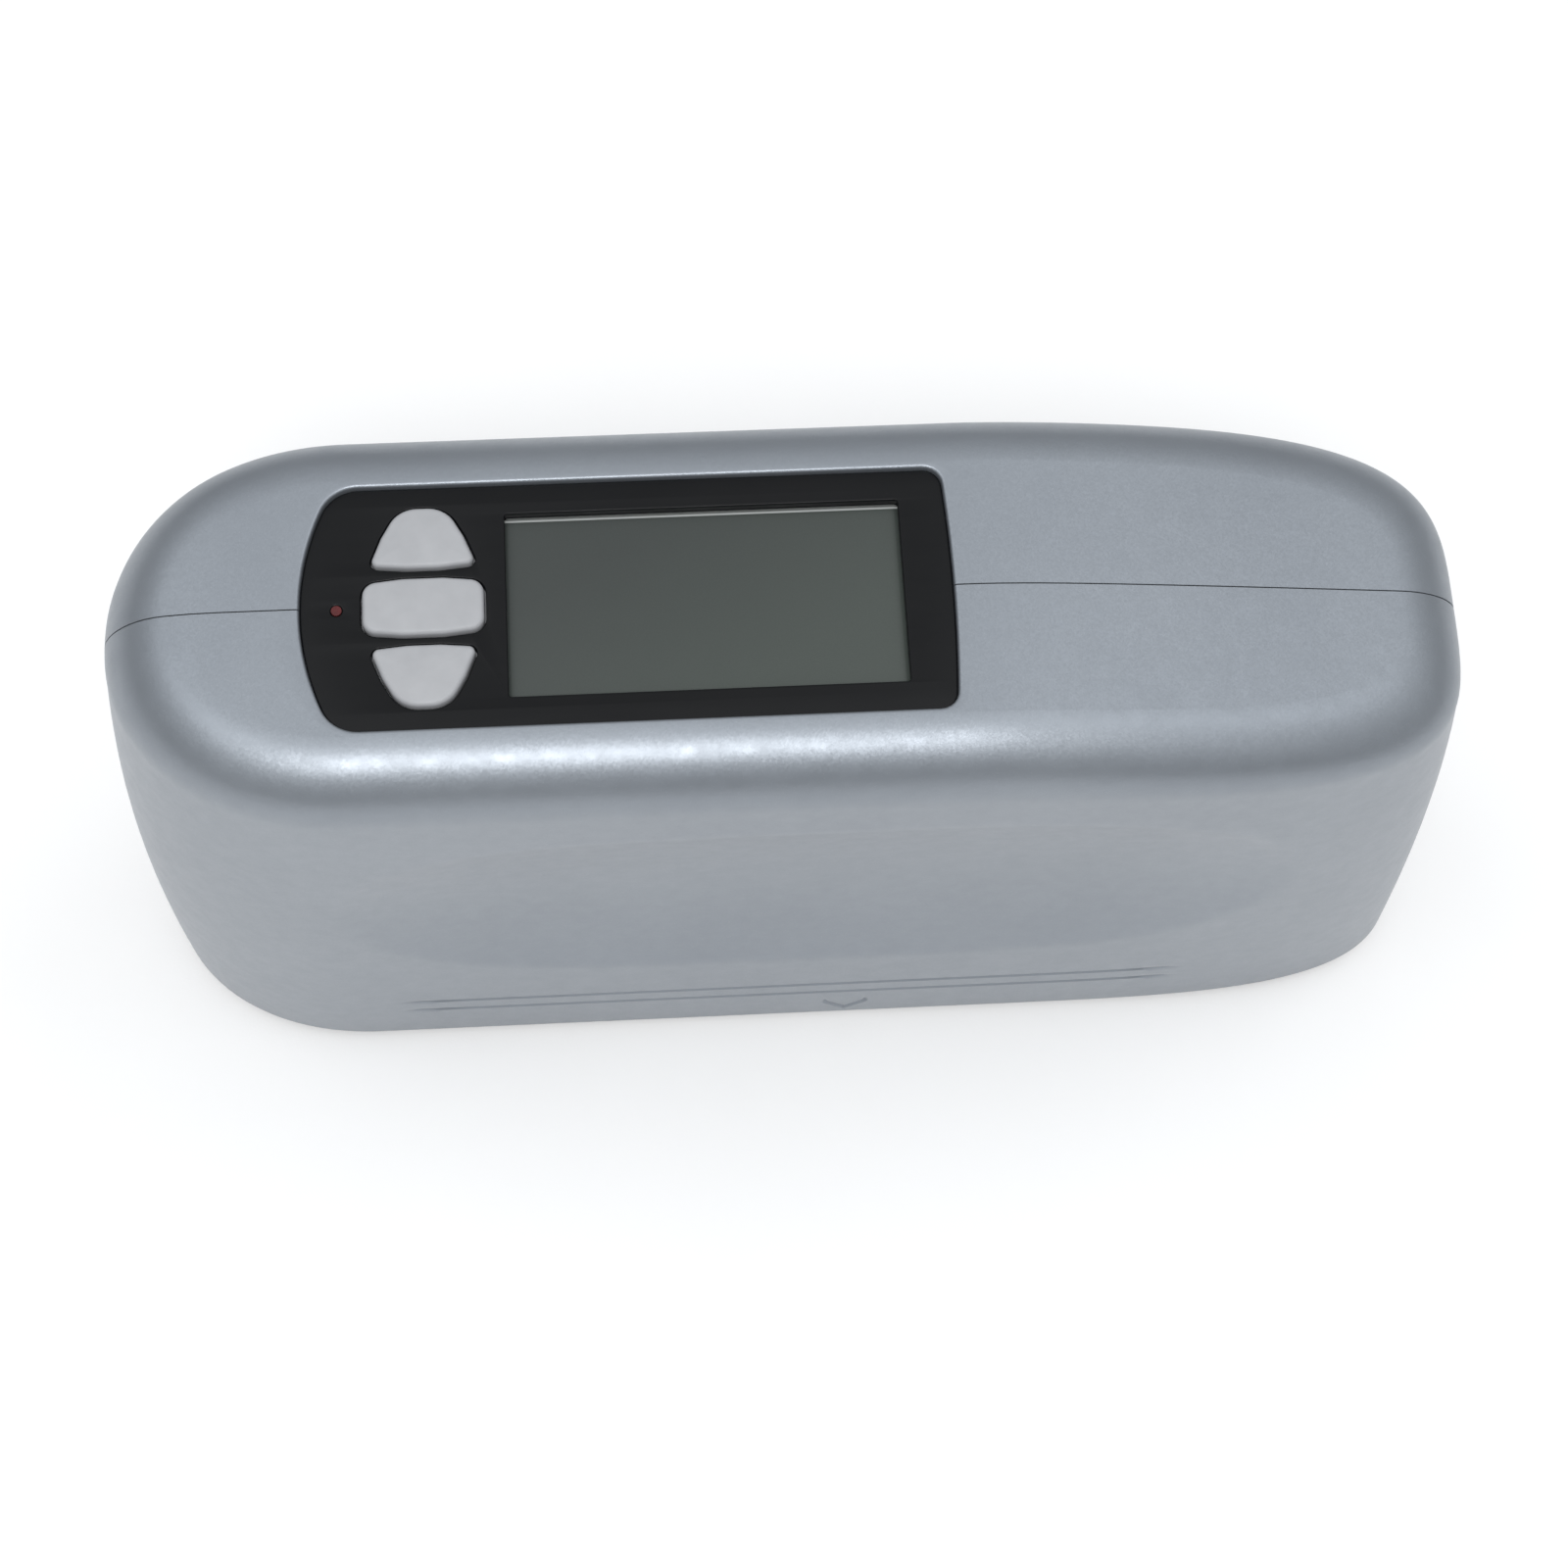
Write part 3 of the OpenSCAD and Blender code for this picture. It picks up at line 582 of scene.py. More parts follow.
def battery_door():
    """Curved door plate with finger grooves, on a barrel and two pins."""
    barrel_r = 0.85
    grip_half, grip_first, grip_pitch, grip_count = 9.0, 45.45, 1.1, 5
    grid = Grid()
    half_stops = [grip_half, grip_half + 0.6, BAY_HALF + 1]
    xs = spaced([-x for x in half_stops[::-1]] + half_stops, 1.2)
    grips = [grip_first + grip_pitch * i for i in range(grip_count)]
    cuts = [g + s for g in grips for s in (-0.3, -0.15, 0, 0.15, 0.3)]
    zs = spaced([HINGE_Z, cuts[0]], 0.8) + cuts[1:] + spaced([cuts[-1], BAY_HIGH + 1], 0.8)[1:]

    def grip(x, z):
        fade = np.clip((grip_half + 0.6 - abs(x)) / 0.6, 0, 1)
        return 0.35 * fade * max(0.0, 1 - min(abs(z - g) for g in grips) / 0.3)

    outer = [[grid.point(x, rear_surface(x, z) - grip(x, z), z) for x in xs] for z in zs]
    inner = [[grid.point(x, 12.95, z) for x in xs] for z in zs]
    grid.sheet(outer)
    grid.sheet(inner)
    grid.strip(outer[0], inner[0])
    grid.strip(outer[-1], inner[-1])
    for end in (0, -1):
        grid.strip([row[end] for row in outer], [row[end] for row in inner])
    plate = grid.mesh("battery_door_plate")
    surface = TOP_HALF_W - SIDE_TAPER / 2 - DISH_REAR
    layers = ((0, 10.0), (0, surface - 0.35), (-0.25, surface + 0.1), (-0.25, 20.0))
    edge = stack("edge", [along_y(bay_outline(grow, HINGE_Z), y) for grow, y in layers])
    boolean(plate, edge, "INTERSECT")
    barrel = tube_solid("barrel", [(barrel_r - 0.15, -BAY_HALF + 0.1), (barrel_r, -BAY_HALF + 0.25),
                                   (barrel_r, BAY_HALF - 0.25), (barrel_r - 0.15, BAY_HALF - 0.1)])
    pin = tube_solid("pin", [(PIN_R - 0.2, -PIN_END), (PIN_R, -PIN_END + 0.2),
                             (PIN_R, PIN_END - 0.2), (PIN_R - 0.2, PIN_END)])
    return join("battery_door_shell", [plate, moved(barrel, hinge_place()), moved(pin, hinge_place())])


def full_plan(t, inset, z):
    """The whole plan outline at height z, counterclockwise seen from above."""
    tip = even_angles("right", 40, 0.0, math.pi / 2)
    flank = [("straight", i / 30) for i in range(1, 30)]
    left = even_angles("left", 40, math.pi / 2, 0.0)
    front = [plan_point(s, t, inset) for s in tip + flank + left]
    outline = front + [(x, -y) for x, y in front[-2:0:-1]]
    return [(x, y, z) for x, y in outline]


def base_plate():
    """Flat base with a rounded outer flange; port and screw seats are cut through it."""
    inset, round_r, flange = 0.3, 0.4, 1.2
    rings = [full_plan(1, inset + round_r * (1 - math.sin(a)), round_r * (1 - math.cos(a)))
             for a in (i * math.pi / 8 for i in range(5))]
    rings.append(full_plan(1, inset, flange - 0.15))
    rings.append(full_plan(1, inset + 0.15, flange))
    rings.append(full_plan(1, WALL + 0.3, flange))
    rings.append(full_plan(1, WALL + 0.3, base_high[2] - 0.2))
    rings.append(full_plan(1, WALL + 0.5, base_high[2]))
    plate = stack("base_sole", rings)
    length, width = 20.0, 9.6
    port_half, chamfer = width / 2, 0.6

    def port(grow, z):
        x0, x1 = PORT_X - length / 2 - grow, PORT_X + length / 2 + grow
        corner = port_half + grow - 0.001
        outline = rounded_outline(x0, x1, -port_half - grow, port_half + grow, (corner,) * 4, 14)
        return [(x, y, z) for x, y in outline]

    boolean(plate, stack("port", [port(chamfer + 0.3, -0.3), port(0, chamfer), port(0, 5)]), "DIFFERENCE")
    seats = [(sx * 48.5, sy * 6.5, 2.4, 1.3) for sx in (-1, 1) for sy in (-1, 1)]
    seats += [(PORT_X + sx * 18, sy * 6.4, 2.0, 1.1) for sx in (-1, 1) for sy in (-1, 1)]
    for x, y, head_r, hole_r in seats:
        rings = [(head_r + 0.3, -0.3), (hole_r, head_r - hole_r), (hole_r, 5)]
        seat = moved(tube_solid("seat", rings), Matrix.Translation((x, y, 0)))
        boolean(plate, seat, "DIFFERENCE")
    return plate


# ---- panel, buttons, display
def flat_curve(name, outlines, low, high, edge):
    """A plate cut to closed outlines, holes included, with its edges rounded by edge."""
    curve = bpy.data.curves.new(name, "CURVE")
    curve.dimensions = "2D"
    curve.fill_mode = "BOTH"
    for outline in outlines:
        spline = curve.splines.new("POLY")
        spline.points.add(len(outline) - 1)
        for point, (x, y) in zip(spline.points, outline):
            point.co = (x * MM, y * MM, 0, 1)
        spline.use_cyclic_u = True
    curve.extrude = ((high - low) / 2 - edge) * MM
    curve.bevel_depth = edge * MM
    curve.bevel_resolution = 3
    curve.offset = -edge * MM
    holder = bpy.data.objects.new(name, curve)
    bpy.context.scene.collection.objects.link(holder)
    mesh = bpy.data.meshes.new_from_object(holder.evaluated_get(bpy.context.evaluated_depsgraph_get()))
    bpy.data.objects.remove(holder)
    bm = bmesh.new()
    bm.from_mesh(mesh)
    bmesh.ops.remove_doubles(bm, verts=bm.verts, dist=0.002 * MM)
    bmesh.ops.translate(bm, verts=bm.verts, vec=(0, 0, (low + high) / 2 * MM))
    bmesh.ops.recalc_face_normals(bm, faces=bm.faces)
    return object_from(bm, name, 30)


def tangent_loop(circles, steps=14):
    """Convex outline round circles (x, y, r), as the hull of their points."""
    points = [p for cx, cy, r in circles for p in circle(cx, cy, r, steps * 4)]
    points = sorted(set(points))

    def chain(ordered):
        kept = []
        for p in ordered:
            while len(kept) > 1 and ((kept[-1][0] - kept[-2][0]) * (p[1] - kept[-2][1])
                                     - (kept[-1][1] - kept[-2][1]) * (p[0] - kept[-2][0])) <= 1e-9:
                kept.pop()
            kept.append(p)
        return kept[:-1]

    return chain(points) + chain(points[::-1])


def button_outline(side, grow):
    """Outline of the upper (1), middle (0) or lower (-1) button."""
    if side == 0:
        rows = [(sx * x, sy * y, 1.1) for x, y in ((BUTTON_LEN / 2 - 1.1, 1.0), (1.5, 1.21))
                for sx in (-1, 1) for sy in (-1, 1)]
    else:
        half = ((0.4, 0.05, 2.35), (1.65, -0.65, 1.6), (1.2, -1.5, 1.05), (3.3, -1.85, 0.5))
        rows = [(s * x, y * side, r) for s in (-1, 1) for x, y, r in half]
    return tangent_loop([(BUTTON_X + x, side * BUTTON_PITCH + y, r + grow) for x, y, r in rows])


def panel_loop(grow):
    right, left = panel_ends(60, 60, grow)
    half = right + left
    return half + [(x, -y) for x, y in half[-2:0:-1]]


def panel():
    """Black panel with its window, button holes and indicator hole."""
    left, right, half = WINDOW
    window = rounded_outline(left, right, -half, half, (0.25,) * 4, 4)
    outlines = [panel_loop(0), window] + [button_outline(side, BUTTON_GAP) for side in (-1, 0, 1)]
    outlines.append(circle(PANEL_LEFT + 2.7, 0, PIPE_R + 0.05, 24))
    return flat_curve("panel_plate", outlines, PANEL_BOTTOM, PANEL_TOP, 0.1)


def button(side, name, node):
    """Push button: softly rounded cap over its flange and stem."""
    low, high = node_box(node)
    face = high[2]
    cap_low = PANEL_BOTTOM - 0.2
    outline = button_outline(side, 0)
    centre = np.array([BUTTON_X, side * BUTTON_PITCH])
    steps, edge, crowning, rings = 6, 0.38, 0.12, 5
    layers = [[(x, y, cap_low) for x, y in outline]]
    for i in range(steps + 1):
        angle = math.pi / 2 * i / steps
        inset = edge * (1 - math.cos(angle))
        z = face - crowning - edge + edge * math.sin(angle)
        layers.append([(x, y, z) for x, y in button_outline(side, -inset)])
    inner = np.array(layers[-1])[:, :2]
    for i in range(1, rings):
        share = 1 - i / rings
        z = face - crowning * share ** 2
        layers.append([(*(centre + (p - centre) * share), z) for p in inner])
    grid = Grid()
    rows = [[grid.point(*p) for p in layer] for layer in layers]
    grid.tube(rows)
    middle = grid.point(*centre, face)
    last = rows[-1] + rows[-1][:1]
    grid.faces += [(a, b, middle) for a, b in zip(last, last[1:])]
    grid.faces.append(tuple(rows[0]))
    cap = grid.mesh(name + "_cap", 40)
    near, far = FLANGE_REACH[side]
    line = [(x, float(np.clip(y, near, far))) for x, y in button_outline(side, 0.4)]
    flange_z = (PANEL_BOTTOM - 0.9, PANEL_BOTTOM - 0.1)
    flange = stack("flange", [[(x, y, z) for x, y in line] for z in flange_z])
    stem = tube_solid("stem", [(1.2, low[2]), (1.2, PANEL_BOTTOM - 0.8)])
    moved(stem, Matrix.Translation((*centre, 0)))
    return join(name, [cap, flange, stem], 40)


def display():
    """Two bonded glass plates with ground edges and a contact ledge on one side."""
    upper_t = 1.0
    x0, y0, z0 = glass_low
    x1, y1, z1 = glass_high
    ledge = WINDOW[2] - 0.12
    wide, narrow = ([rounded_outline(x0, x1, y0, end, (0.3,) * 4, 3)] for end in (y1, ledge))
    lower = flat_curve("lower_glass", wide, z0, z1 - upper_t, 0.08)
    upper = flat_curve("upper_glass", narrow, z1 - upper_t, z1, 0.08)
    return join("display_glass", [lower, upper], 30)


def cell():
    """Battery cell: wrapped can with rolled shoulders, a stepped cap and a flat end."""
    low, high = node_box("battery_cell")
    middle = (low + high) / 2
    radius = (high[2] - low[2]) / 2
    length = high[0] - low[0]
    body = length - 1.2
    profile = [(radius - 0.9, 0.0), (radius - 0.7, 0.05), (radius - 0.25, 0.25), (radius, 0.7),
               (radius, body - 0.9), (radius - 0.2, body - 0.4), (radius - 0.8, body - 0.15),
               (radius - 1.6, body - 0.3), (3.1, body - 0.25), (2.7, body - 0.1), (2.6, body + 0.2),
               (2.6, body + 0.9), (2.35, length), (0.6, length)]
    turn = Matrix.Translation((low[0], middle[1], middle[2])) @ Matrix.Rotation(math.pi / 2, 4, "Y")
    return moved(tube_solid("cell_can", profile), turn)


def spring():
    """Wire coil spring on its square contact plate."""
    low, high = node_box("contact_spring")
    middle = (low + high) / 2
    plate_t = 0.5
    turns, steps, sides, wire_r = 3.0, 96, 10, 0.32
    start, end = low[0] + plate_t + wire_r, high[0] - wire_r
    grid = Grid()
    rows = []
    for i in range(steps + 1):
        share = i / steps
        angle = 2 * math.pi * turns * share
        coil_r = 4.0 - 1.2 * share
        x = start + (end - start) * share
        row = []
        for k in range(sides):
            around = 2 * math.pi * k / sides
            reach = coil_r + wire_r * math.cos(around)
            row.append(grid.point(x + wire_r * math.sin(around), middle[1] + reach * math.cos(angle),
                                  middle[2] + reach * math.sin(angle)))
        rows.append(row + row[:1])
    grid.sheet(rows)
    grid.faces.append(tuple(rows[0][:-1]))
    grid.faces.append(tuple(rows[-1][:-1]))
    coil = grid.mesh("coil", 60)
    outline = rounded_outline(low[1], high[1], low[2], high[2], (0.8,) * 4, 4)
    plate = stack("plate", [[(x, y, z) for y, z in outline] for x in (low[0], low[0] + plate_t)])
    return join("battery_spring", [coil, plate], 45)


# ---- materials
class Finish:
    """One procedural material on a Principled shader. Patterns use the object's own coordinates."""

    def __init__(self, name, **values):
        self.material = bpy.data.materials.new(name)
        self.material.use_nodes = True
        self.tree = self.material.node_tree
        self.shader = self.tree.nodes["Principled BSDF"]
        for key, value in values.items():
            self.shader.inputs[key.replace("_", " ")].default_value = value
        self.place = self.add("TexCoord").outputs["Object"]

    def add(self, kind, **settings):
        node = self.tree.nodes.new("ShaderNode" + kind)
        for key, value in settings.items():
            setattr(node, key, value)
        return node

    def put(self, value, socket):
        if isinstance(value, bpy.types.NodeSocket):
            self.tree.links.new(value, socket)
        else:
            socket.default_value = value

    def vector(self, operation, first, second=(0, 0, 0)):
        node = self.add("VectorMath", operation=operation)
        self.put(first, node.inputs[0])
        self.put(second, node.inputs[1])
        return node.outputs[0]

    def scaled(self, vector, factor):
        node = self.add("VectorMath", operation="SCALE")
        self.put(vector, node.inputs[0])
        self.put(factor, node.inputs["Scale"])
        return node.outputs[0]

    def noise(self, per_mm, detail=2.0, stretch=None):
        node = self.add("TexNoise")
        place = self.vector("MULTIPLY", self.place, stretch) if stretch else self.place
        self.put(place, node.inputs["Vector"])
        node.inputs["Scale"].default_value = per_mm / MM
        node.inputs["Detail"].default_value = detail
        return node.outputs[0]

    def cells(self, per_mm, output="Color", feature="F1"):
        node = self.add("TexVoronoi", feature=feature)
        self.put(self.place, node.inputs["Vector"])
        node.inputs["Scale"].default_value = per_mm / MM
        return node.outputs[output]

    def bands(self, per_mm):
        node = self.add("TexWave", bands_direction="X")
        self.put(self.place, node.inputs["Vector"])
        node.inputs["Scale"].default_value = per_mm / MM
        return node.outputs["Fac"]

    def axis(self, name):
        node = self.add("SeparateXYZ")
        self.put(self.place, node.inputs[0])
        return node.outputs[name]

    def math(self, operation, first, second=0.0):
        node = self.add("Math", operation=operation)
        self.put(first, node.inputs[0])
        self.put(second, node.inputs[1])
        return node.outputs[0]

    def span(self, value, low, high, to_low=0.0, to_high=1.0):
        """Maps low..high to to_low..to_high, clamped."""
        node = self.add("MapRange")
        for socket, entry in zip(node.inputs, (value, low, high, to_low, to_high)):
            self.put(entry, socket)
        return node.outputs[0]

    def tones(self, factor, *stops):
        """Colour ramp through (position, colour) stops."""
        node = self.add("ValToRGB")
        ramp = node.color_ramp
        while len(ramp.elements) < len(stops):
            ramp.elements.new(0.5)
        for element, (position, colour) in zip(ramp.elements, stops):
            element.position = position
            element.color = (*colour, 1)
        self.put(factor, node.inputs[0])
        return node.outputs[0]

    def blend(self, factor, first, second):
        node = self.add("Mix", data_type="RGBA")
        self.put(factor, node.inputs["Factor"])
        for socket, value in ((node.inputs[6], first), (node.inputs[7], second)):
            self.put(value if isinstance(value, bpy.types.NodeSocket) else (*value, 1), socket)
        return node.outputs[2]

    def relief(self, height, depth_mm):
        node = self.add("Bump")
        node.inputs["Distance"].default_value = depth_mm * MM
        node.inputs["Strength"].default_value = 1.0
        self.put(height, node.inputs["Height"])
        return node.outputs[0]

    def mottle(self, per_mm, detail, dark, light):
        """Cloudy change between two colours."""
        return self.tones(self.noise(per_mm, detail), (0.3, dark), (0.7, light))

    def gloss(self, per_mm, detail, low, high):
        """Roughness that changes softly from place to place."""
        return self.span(self.noise(per_mm, detail), 0.3, 0.7, low, high)

    def grain(self, per_mm, detail, depth_mm):
        return self.relief(self.noise(per_mm, detail), depth_mm)

    def flakes(self, per_mm, tilt, normal):
        """Tilts the normal a little in each tiny cell, as metal flakes in paint do."""
        centred = self.vector("SUBTRACT", self.cells(per_mm), (0.5, 0.5, 0.5))
        tilted = self.vector("ADD", normal, self.scaled(centred, tilt))
        return self.vector("NORMALIZE", tilted)

    def edges(self):
        """0 on flats and in hollows, 1 on worn outer edges."""
        return self.span(self.add("NewGeometry").outputs["Pointiness"], 0.52, 0.6)

    def done(self, colour=None, roughness=None, normal=None):
        for value, socket in ((colour, "Base Color"), (roughness, "Roughness"), (normal, "Normal")):
            if value is not None:
                self.put(value, self.shader.inputs[socket])
        return self.material


def plain(name, mottle, gloss, grain, **values):
    """A finish with a cloudy colour, uneven gloss and a fine grain."""
    f = Finish(name, **values)
    return f.done(f.mottle(*mottle), f.gloss(*gloss), f.grain(*grain))


def plain_finishes():
    return [
        # black anodised, bead-blasted optical block
        plain("bench_black", (0.4, 4, (0.016, 0.016, 0.018), (0.026, 0.026, 0.028)),
              (3, 3, 0.5, 0.62), (7, 2, 0.01), Metallic=0.5),
        # light grey silicone-coated key tops
        plain("key_grey", (0.6, 4, (0.355, 0.362, 0.378), (0.385, 0.392, 0.408)),
              (2, 3, 0.44, 0.54), (8, 2, 0.004), Specular_IOR_Level=0.4),
        # moulded black nylon of the tactile switches
        plain("switch_black", (1, 3, (0.012, 0.012, 0.013), (0.022, 0.022, 0.023)),
              (3, 3, 0.42, 0.55), (9, 2, 0.006)),
        # dark red light pipe, unlit
        plain("red_lens", (3, 2, (0.085, 0.006, 0.007), (0.130, 0.010, 0.011)),
              (5, 2, 0.2, 0.3), (6, 2, 0.003), Transmission_Weight=0.25, IOR=1.49),
        # clear epoxy with a faint yellow cast
        plain("led_body", (1, 2, (0.82, 0.82, 0.74), (0.9, 0.9, 0.84)),
              (4, 3, 0.08, 0.16), (4, 2, 0.002), Transmission_Weight=0.7, IOR=1.5),
        # white moulded backlight frame
        plain("white_plastic", (0.4, 3, (0.68, 0.68, 0.66), (0.75, 0.75, 0.73)),
              (2, 3, 0.45, 0.55), (6, 2, 0.005)),
        # matte epoxy packages
        plain("chip_black", (1.5, 4, (0.02, 0.02, 0.021), (0.032, 0.032, 0.033)),
              (4, 3, 0.55, 0.68), (9, 3, 0.008)),
        # chemically blackened brass of the two light stops
        plain("stop_black", (1, 4, (0.012, 0.012, 0.013), (0.03, 0.027, 0.024)),
              (3, 3, 0.55, 0.7), (6, 2, 0.006), Metallic=0.6),
        # glass-filled nylon battery holder with a coarse moulded grain
        plain("holder_black", (0.5, 4, (0.018, 0.018, 0.02), (0.03, 0.03, 0.032)),
              (2, 3, 0.45, 0.6), (4, 3, 0.015)),
    ]


def groove_painted_shade(f):
    """Painted shade along the floors of the two fine grooves, only on the front and between their ends."""
    low, high = (f.math("ABSOLUTE", f.math("SUBTRACT", f.axis("Z"), z * MM)) for z in GROOVE_HEIGHTS)
    lines = f.span(f.math("MINIMUM", low, high), 0.1 * MM, 0.26 * MM, 0.7, 0.0)
    middle = (GROOVE_START + GROOVE_END) / 2 * MM
    half = (GROOVE_END - GROOVE_START) / 2 * MM
    along = f.math("ABSOLUTE", f.math("SUBTRACT", f.axis("X"), middle))
    inside = f.span(along, half - GROOVE_RUN_OUT * MM, half, 1.0, 0.0)
    front = f.span(f.axis("Y"), -2 * MM, -1 * MM, 1.0, 0.0)
    return f.math("MULTIPLY", lines, f.math("MULTIPLY", inside, front))


def case_grey():
    """Silver grey pearl paint over a fine moulded grain."""
    f = Finish("case_grey", Metallic=0.65, Specular_IOR_Level=0.5, Coat_Weight=0.3, Coat_Roughness=0.36)
    colour = f.mottle(0.05, 3, (0.262, 0.287, 0.320), (0.282, 0.308, 0.341))
    sparkle = f.span(f.cells(4.5, "Distance"), 0.0, 0.10, 1.0, 0.0)
    colour = f.blend(f.math("MULTIPLY", sparkle, 0.7), colour, (0.62, 0.66, 0.70))
    # painted shade: the floors of the two fine grooves are darkened in the colour
    colour = f.blend(groove_painted_shade(f), colour, (0.10, 0.11, 0.12))
    normal = f.flakes(7.0, 0.06, f.grain(2.6, 3, 0.007))
    return f.done(colour, f.gloss(0.7, 4, 0.40, 0.47), normal)


def base_black():
    """Black anodised aluminium, milled flat underneath and slightly rubbed at its edges."""
    f = Finish("base_black", Metallic=0.75)
    lay = f.noise(6.0, 3, (0.03, 1, 1))
    colour = f.mottle(0.2, 4, (0.030, 0.032, 0.034), (0.042, 0.044, 0.047))
    colour = f.blend(f.math("MULTIPLY", f.edges(), 0.5), colour, (0.22, 0.225, 0.23))
    rough = f.span(lay, 0.3, 0.7, 0.34, 0.46)
    return f.done(colour, rough, f.relief(lay, 0.004))


def panel_black():
    """Satin black printed overlay with faint dust and hairline rubs."""
    f = Finish("panel_black", Specular_IOR_Level=0.2)
    colour = f.mottle(0.15, 3, (0.0025, 0.0029, 0.0037), (0.0035, 0.0039, 0.0047))
    dust = f.span(f.cells(1.6, "Distance"), 0.0, 0.035, 1.0, 0.0)
    colour = f.blend(f.math("MULTIPLY", dust, 0.25), colour, (0.2, 0.2, 0.2))
    rough = f.span(f.noise(1.4, 5, (0.12, 1, 1)), 0.3, 0.7, 0.34, 0.44)
    return f.done(colour, rough, f.grain(9, 2, 0.0035))


def lcd_green():
    """Unlit reflective display: grey-green polariser under glass, darker towards one corner, with a painted
    highlight along the top glass edge.
    """
    f = Finish("lcd_green", Metallic=0.15, Coat_Weight=0.4, Coat_Roughness=0.06)
    across = f.span(f.axis("X"), glass_low[0] * MM, glass_high[0] * MM)
    along = f.span(f.axis("Y"), glass_low[1] * MM, glass_high[1] * MM)
    slope = f.math("SUBTRACT", f.math("ADD", across, 0.35), f.math("MULTIPLY", along, 0.9))
    slope = f.math("ADD", slope, f.math("MULTIPLY", f.noise(0.12, 2), 0.12))
    colour = f.tones(slope, (0.0, (0.028, 0.035, 0.032)), (0.9, (0.040, 0.051, 0.044)))
    grain = f.span(f.noise(8, 2), 0.35, 0.65, 0.96, 1.04)
    shaded = f.scaled(colour, grain)
    # painted highlight: a light line along the top glass edge, just inside the window
    rim = f.span(f.axis("Y"), (WINDOW[2] - 0.36) * MM, (WINDOW[2] - 0.3) * MM)
    with_painted_highlight = f.blend(rim, shaded, (0.42, 0.44, 0.43))
    rough = f.gloss(0.5, 3, 0.36, 0.42)
    return f.done(with_painted_highlight, rough, f.grain(10, 2, 0.002))


def strip_rubber():
    """Contact strip: conductive layers between pink silicone."""
    f = Finish("strip_rubber")
    colour = f.tones(f.bands(1.6), (0.45, (0.03, 0.03, 0.032)), (0.55, (0.5, 0.3, 0.3)))
    return f.done(colour, f.gloss(3, 2, 0.6, 0.7), f.grain(5, 2, 0.01))


def board_green():
    """Circuit board: green mask with slightly raised, paler tracks."""
    f = Finish("board_green", Coat_Weight=0.4, Coat_Roughness=0.15)
    tracks = f.span(f.cells(0.45, "Distance", "DISTANCE_TO_EDGE"), 0.06, 0.09, 1.0, 0.0)
    mask = f.mottle(0.3, 3, (0.008, 0.085, 0.035), (0.012, 0.105, 0.045))
    colour = f.blend(f.math("MULTIPLY", tracks, 0.7), mask, (0.03, 0.19, 0.08))
    return f.done(colour, f.gloss(2, 3, 0.3, 0.4), f.relief(tracks, 0.03))


def glass(name, clear, mottle, dust_rough):
    """Coated optical glass with a trace of dust."""
    f = Finish(name, Transmission_Weight=clear, IOR=1.52)
    dust = f.span(f.cells(2.5, "Distance"), 0.0, 0.05, 0.3, dust_rough)
    return f.done(f.mottle(*mottle), dust, f.grain(0.6, 2, 0.001))


def metal(name, dark, light, rough_low, rough_high, lay):
    """Bare metal with drawn or turned lines and slightly uneven gloss."""
    f = Finish(name, Metallic=1.0)
    lines = f.noise(5.0, 4, lay)
    colour = f.mottle(0.8, 4, dark, light)
    return f.done(colour, f.span(lines, 0.3, 0.7, rough_low, rough_high), f.relief(lines, 0.004))


def cell_wrap():
    """Shrink-wrapped cell: two plain bands, with bare metal at both ends."""
    f = Finish("cell_wrap")
    low, high = node_box("battery_cell")
    along = f.span(f.axis("X"), low[0] * MM, high[0] * MM)
    blue, gold = (0.02, 0.03, 0.055), (0.52, 0.36, 0.16)
    bands = f.tones(along, (0.0, (0.55, 0.55, 0.54)), (0.012, blue), (0.7, blue), (0.705, gold),
                    (0.955, gold), (0.962, (0.6, 0.6, 0.58)))
    bands.node.color_ramp.interpolation = "CONSTANT"
    mottled = f.blend(f.gloss(0.5, 4, 0.0, 0.12), bands, (0.4, 0.4, 0.4))
    bare = f.math("ADD", f.span(along, 0.962, 0.964), f.span(along, 0.012, 0.010))
    f.put(bare, f.shader.inputs["Metallic"])
    rough = f.span(f.noise(1.2, 4, (0.2, 1, 1)), 0.3, 0.7, 0.22, 0.34)
    return f.done(mottled, rough, f.grain(0.8, 3, 0.008))


def wire(name, dark, light):
    """Soft PVC insulation."""
    return plain(name, (1, 3, dark, light), (4, 3, 0.35, 0.5), (5, 2, 0.008), Specular_IOR_Level=0.5)


def floor_paper():
    """Seamless white studio paper."""
    glow = {"Emission_Color": (1, 0.99, 0.975, 1), "Emission_Strength": 0.1}
    return plain("floor_paper", (0.02, 3, (0.86, 0.86, 0.86), (0.88, 0.88, 0.88)),
                 (0.5, 3, 0.85, 0.95), (3, 3, 0.01), Specular_IOR_Level=0.1, **glow)


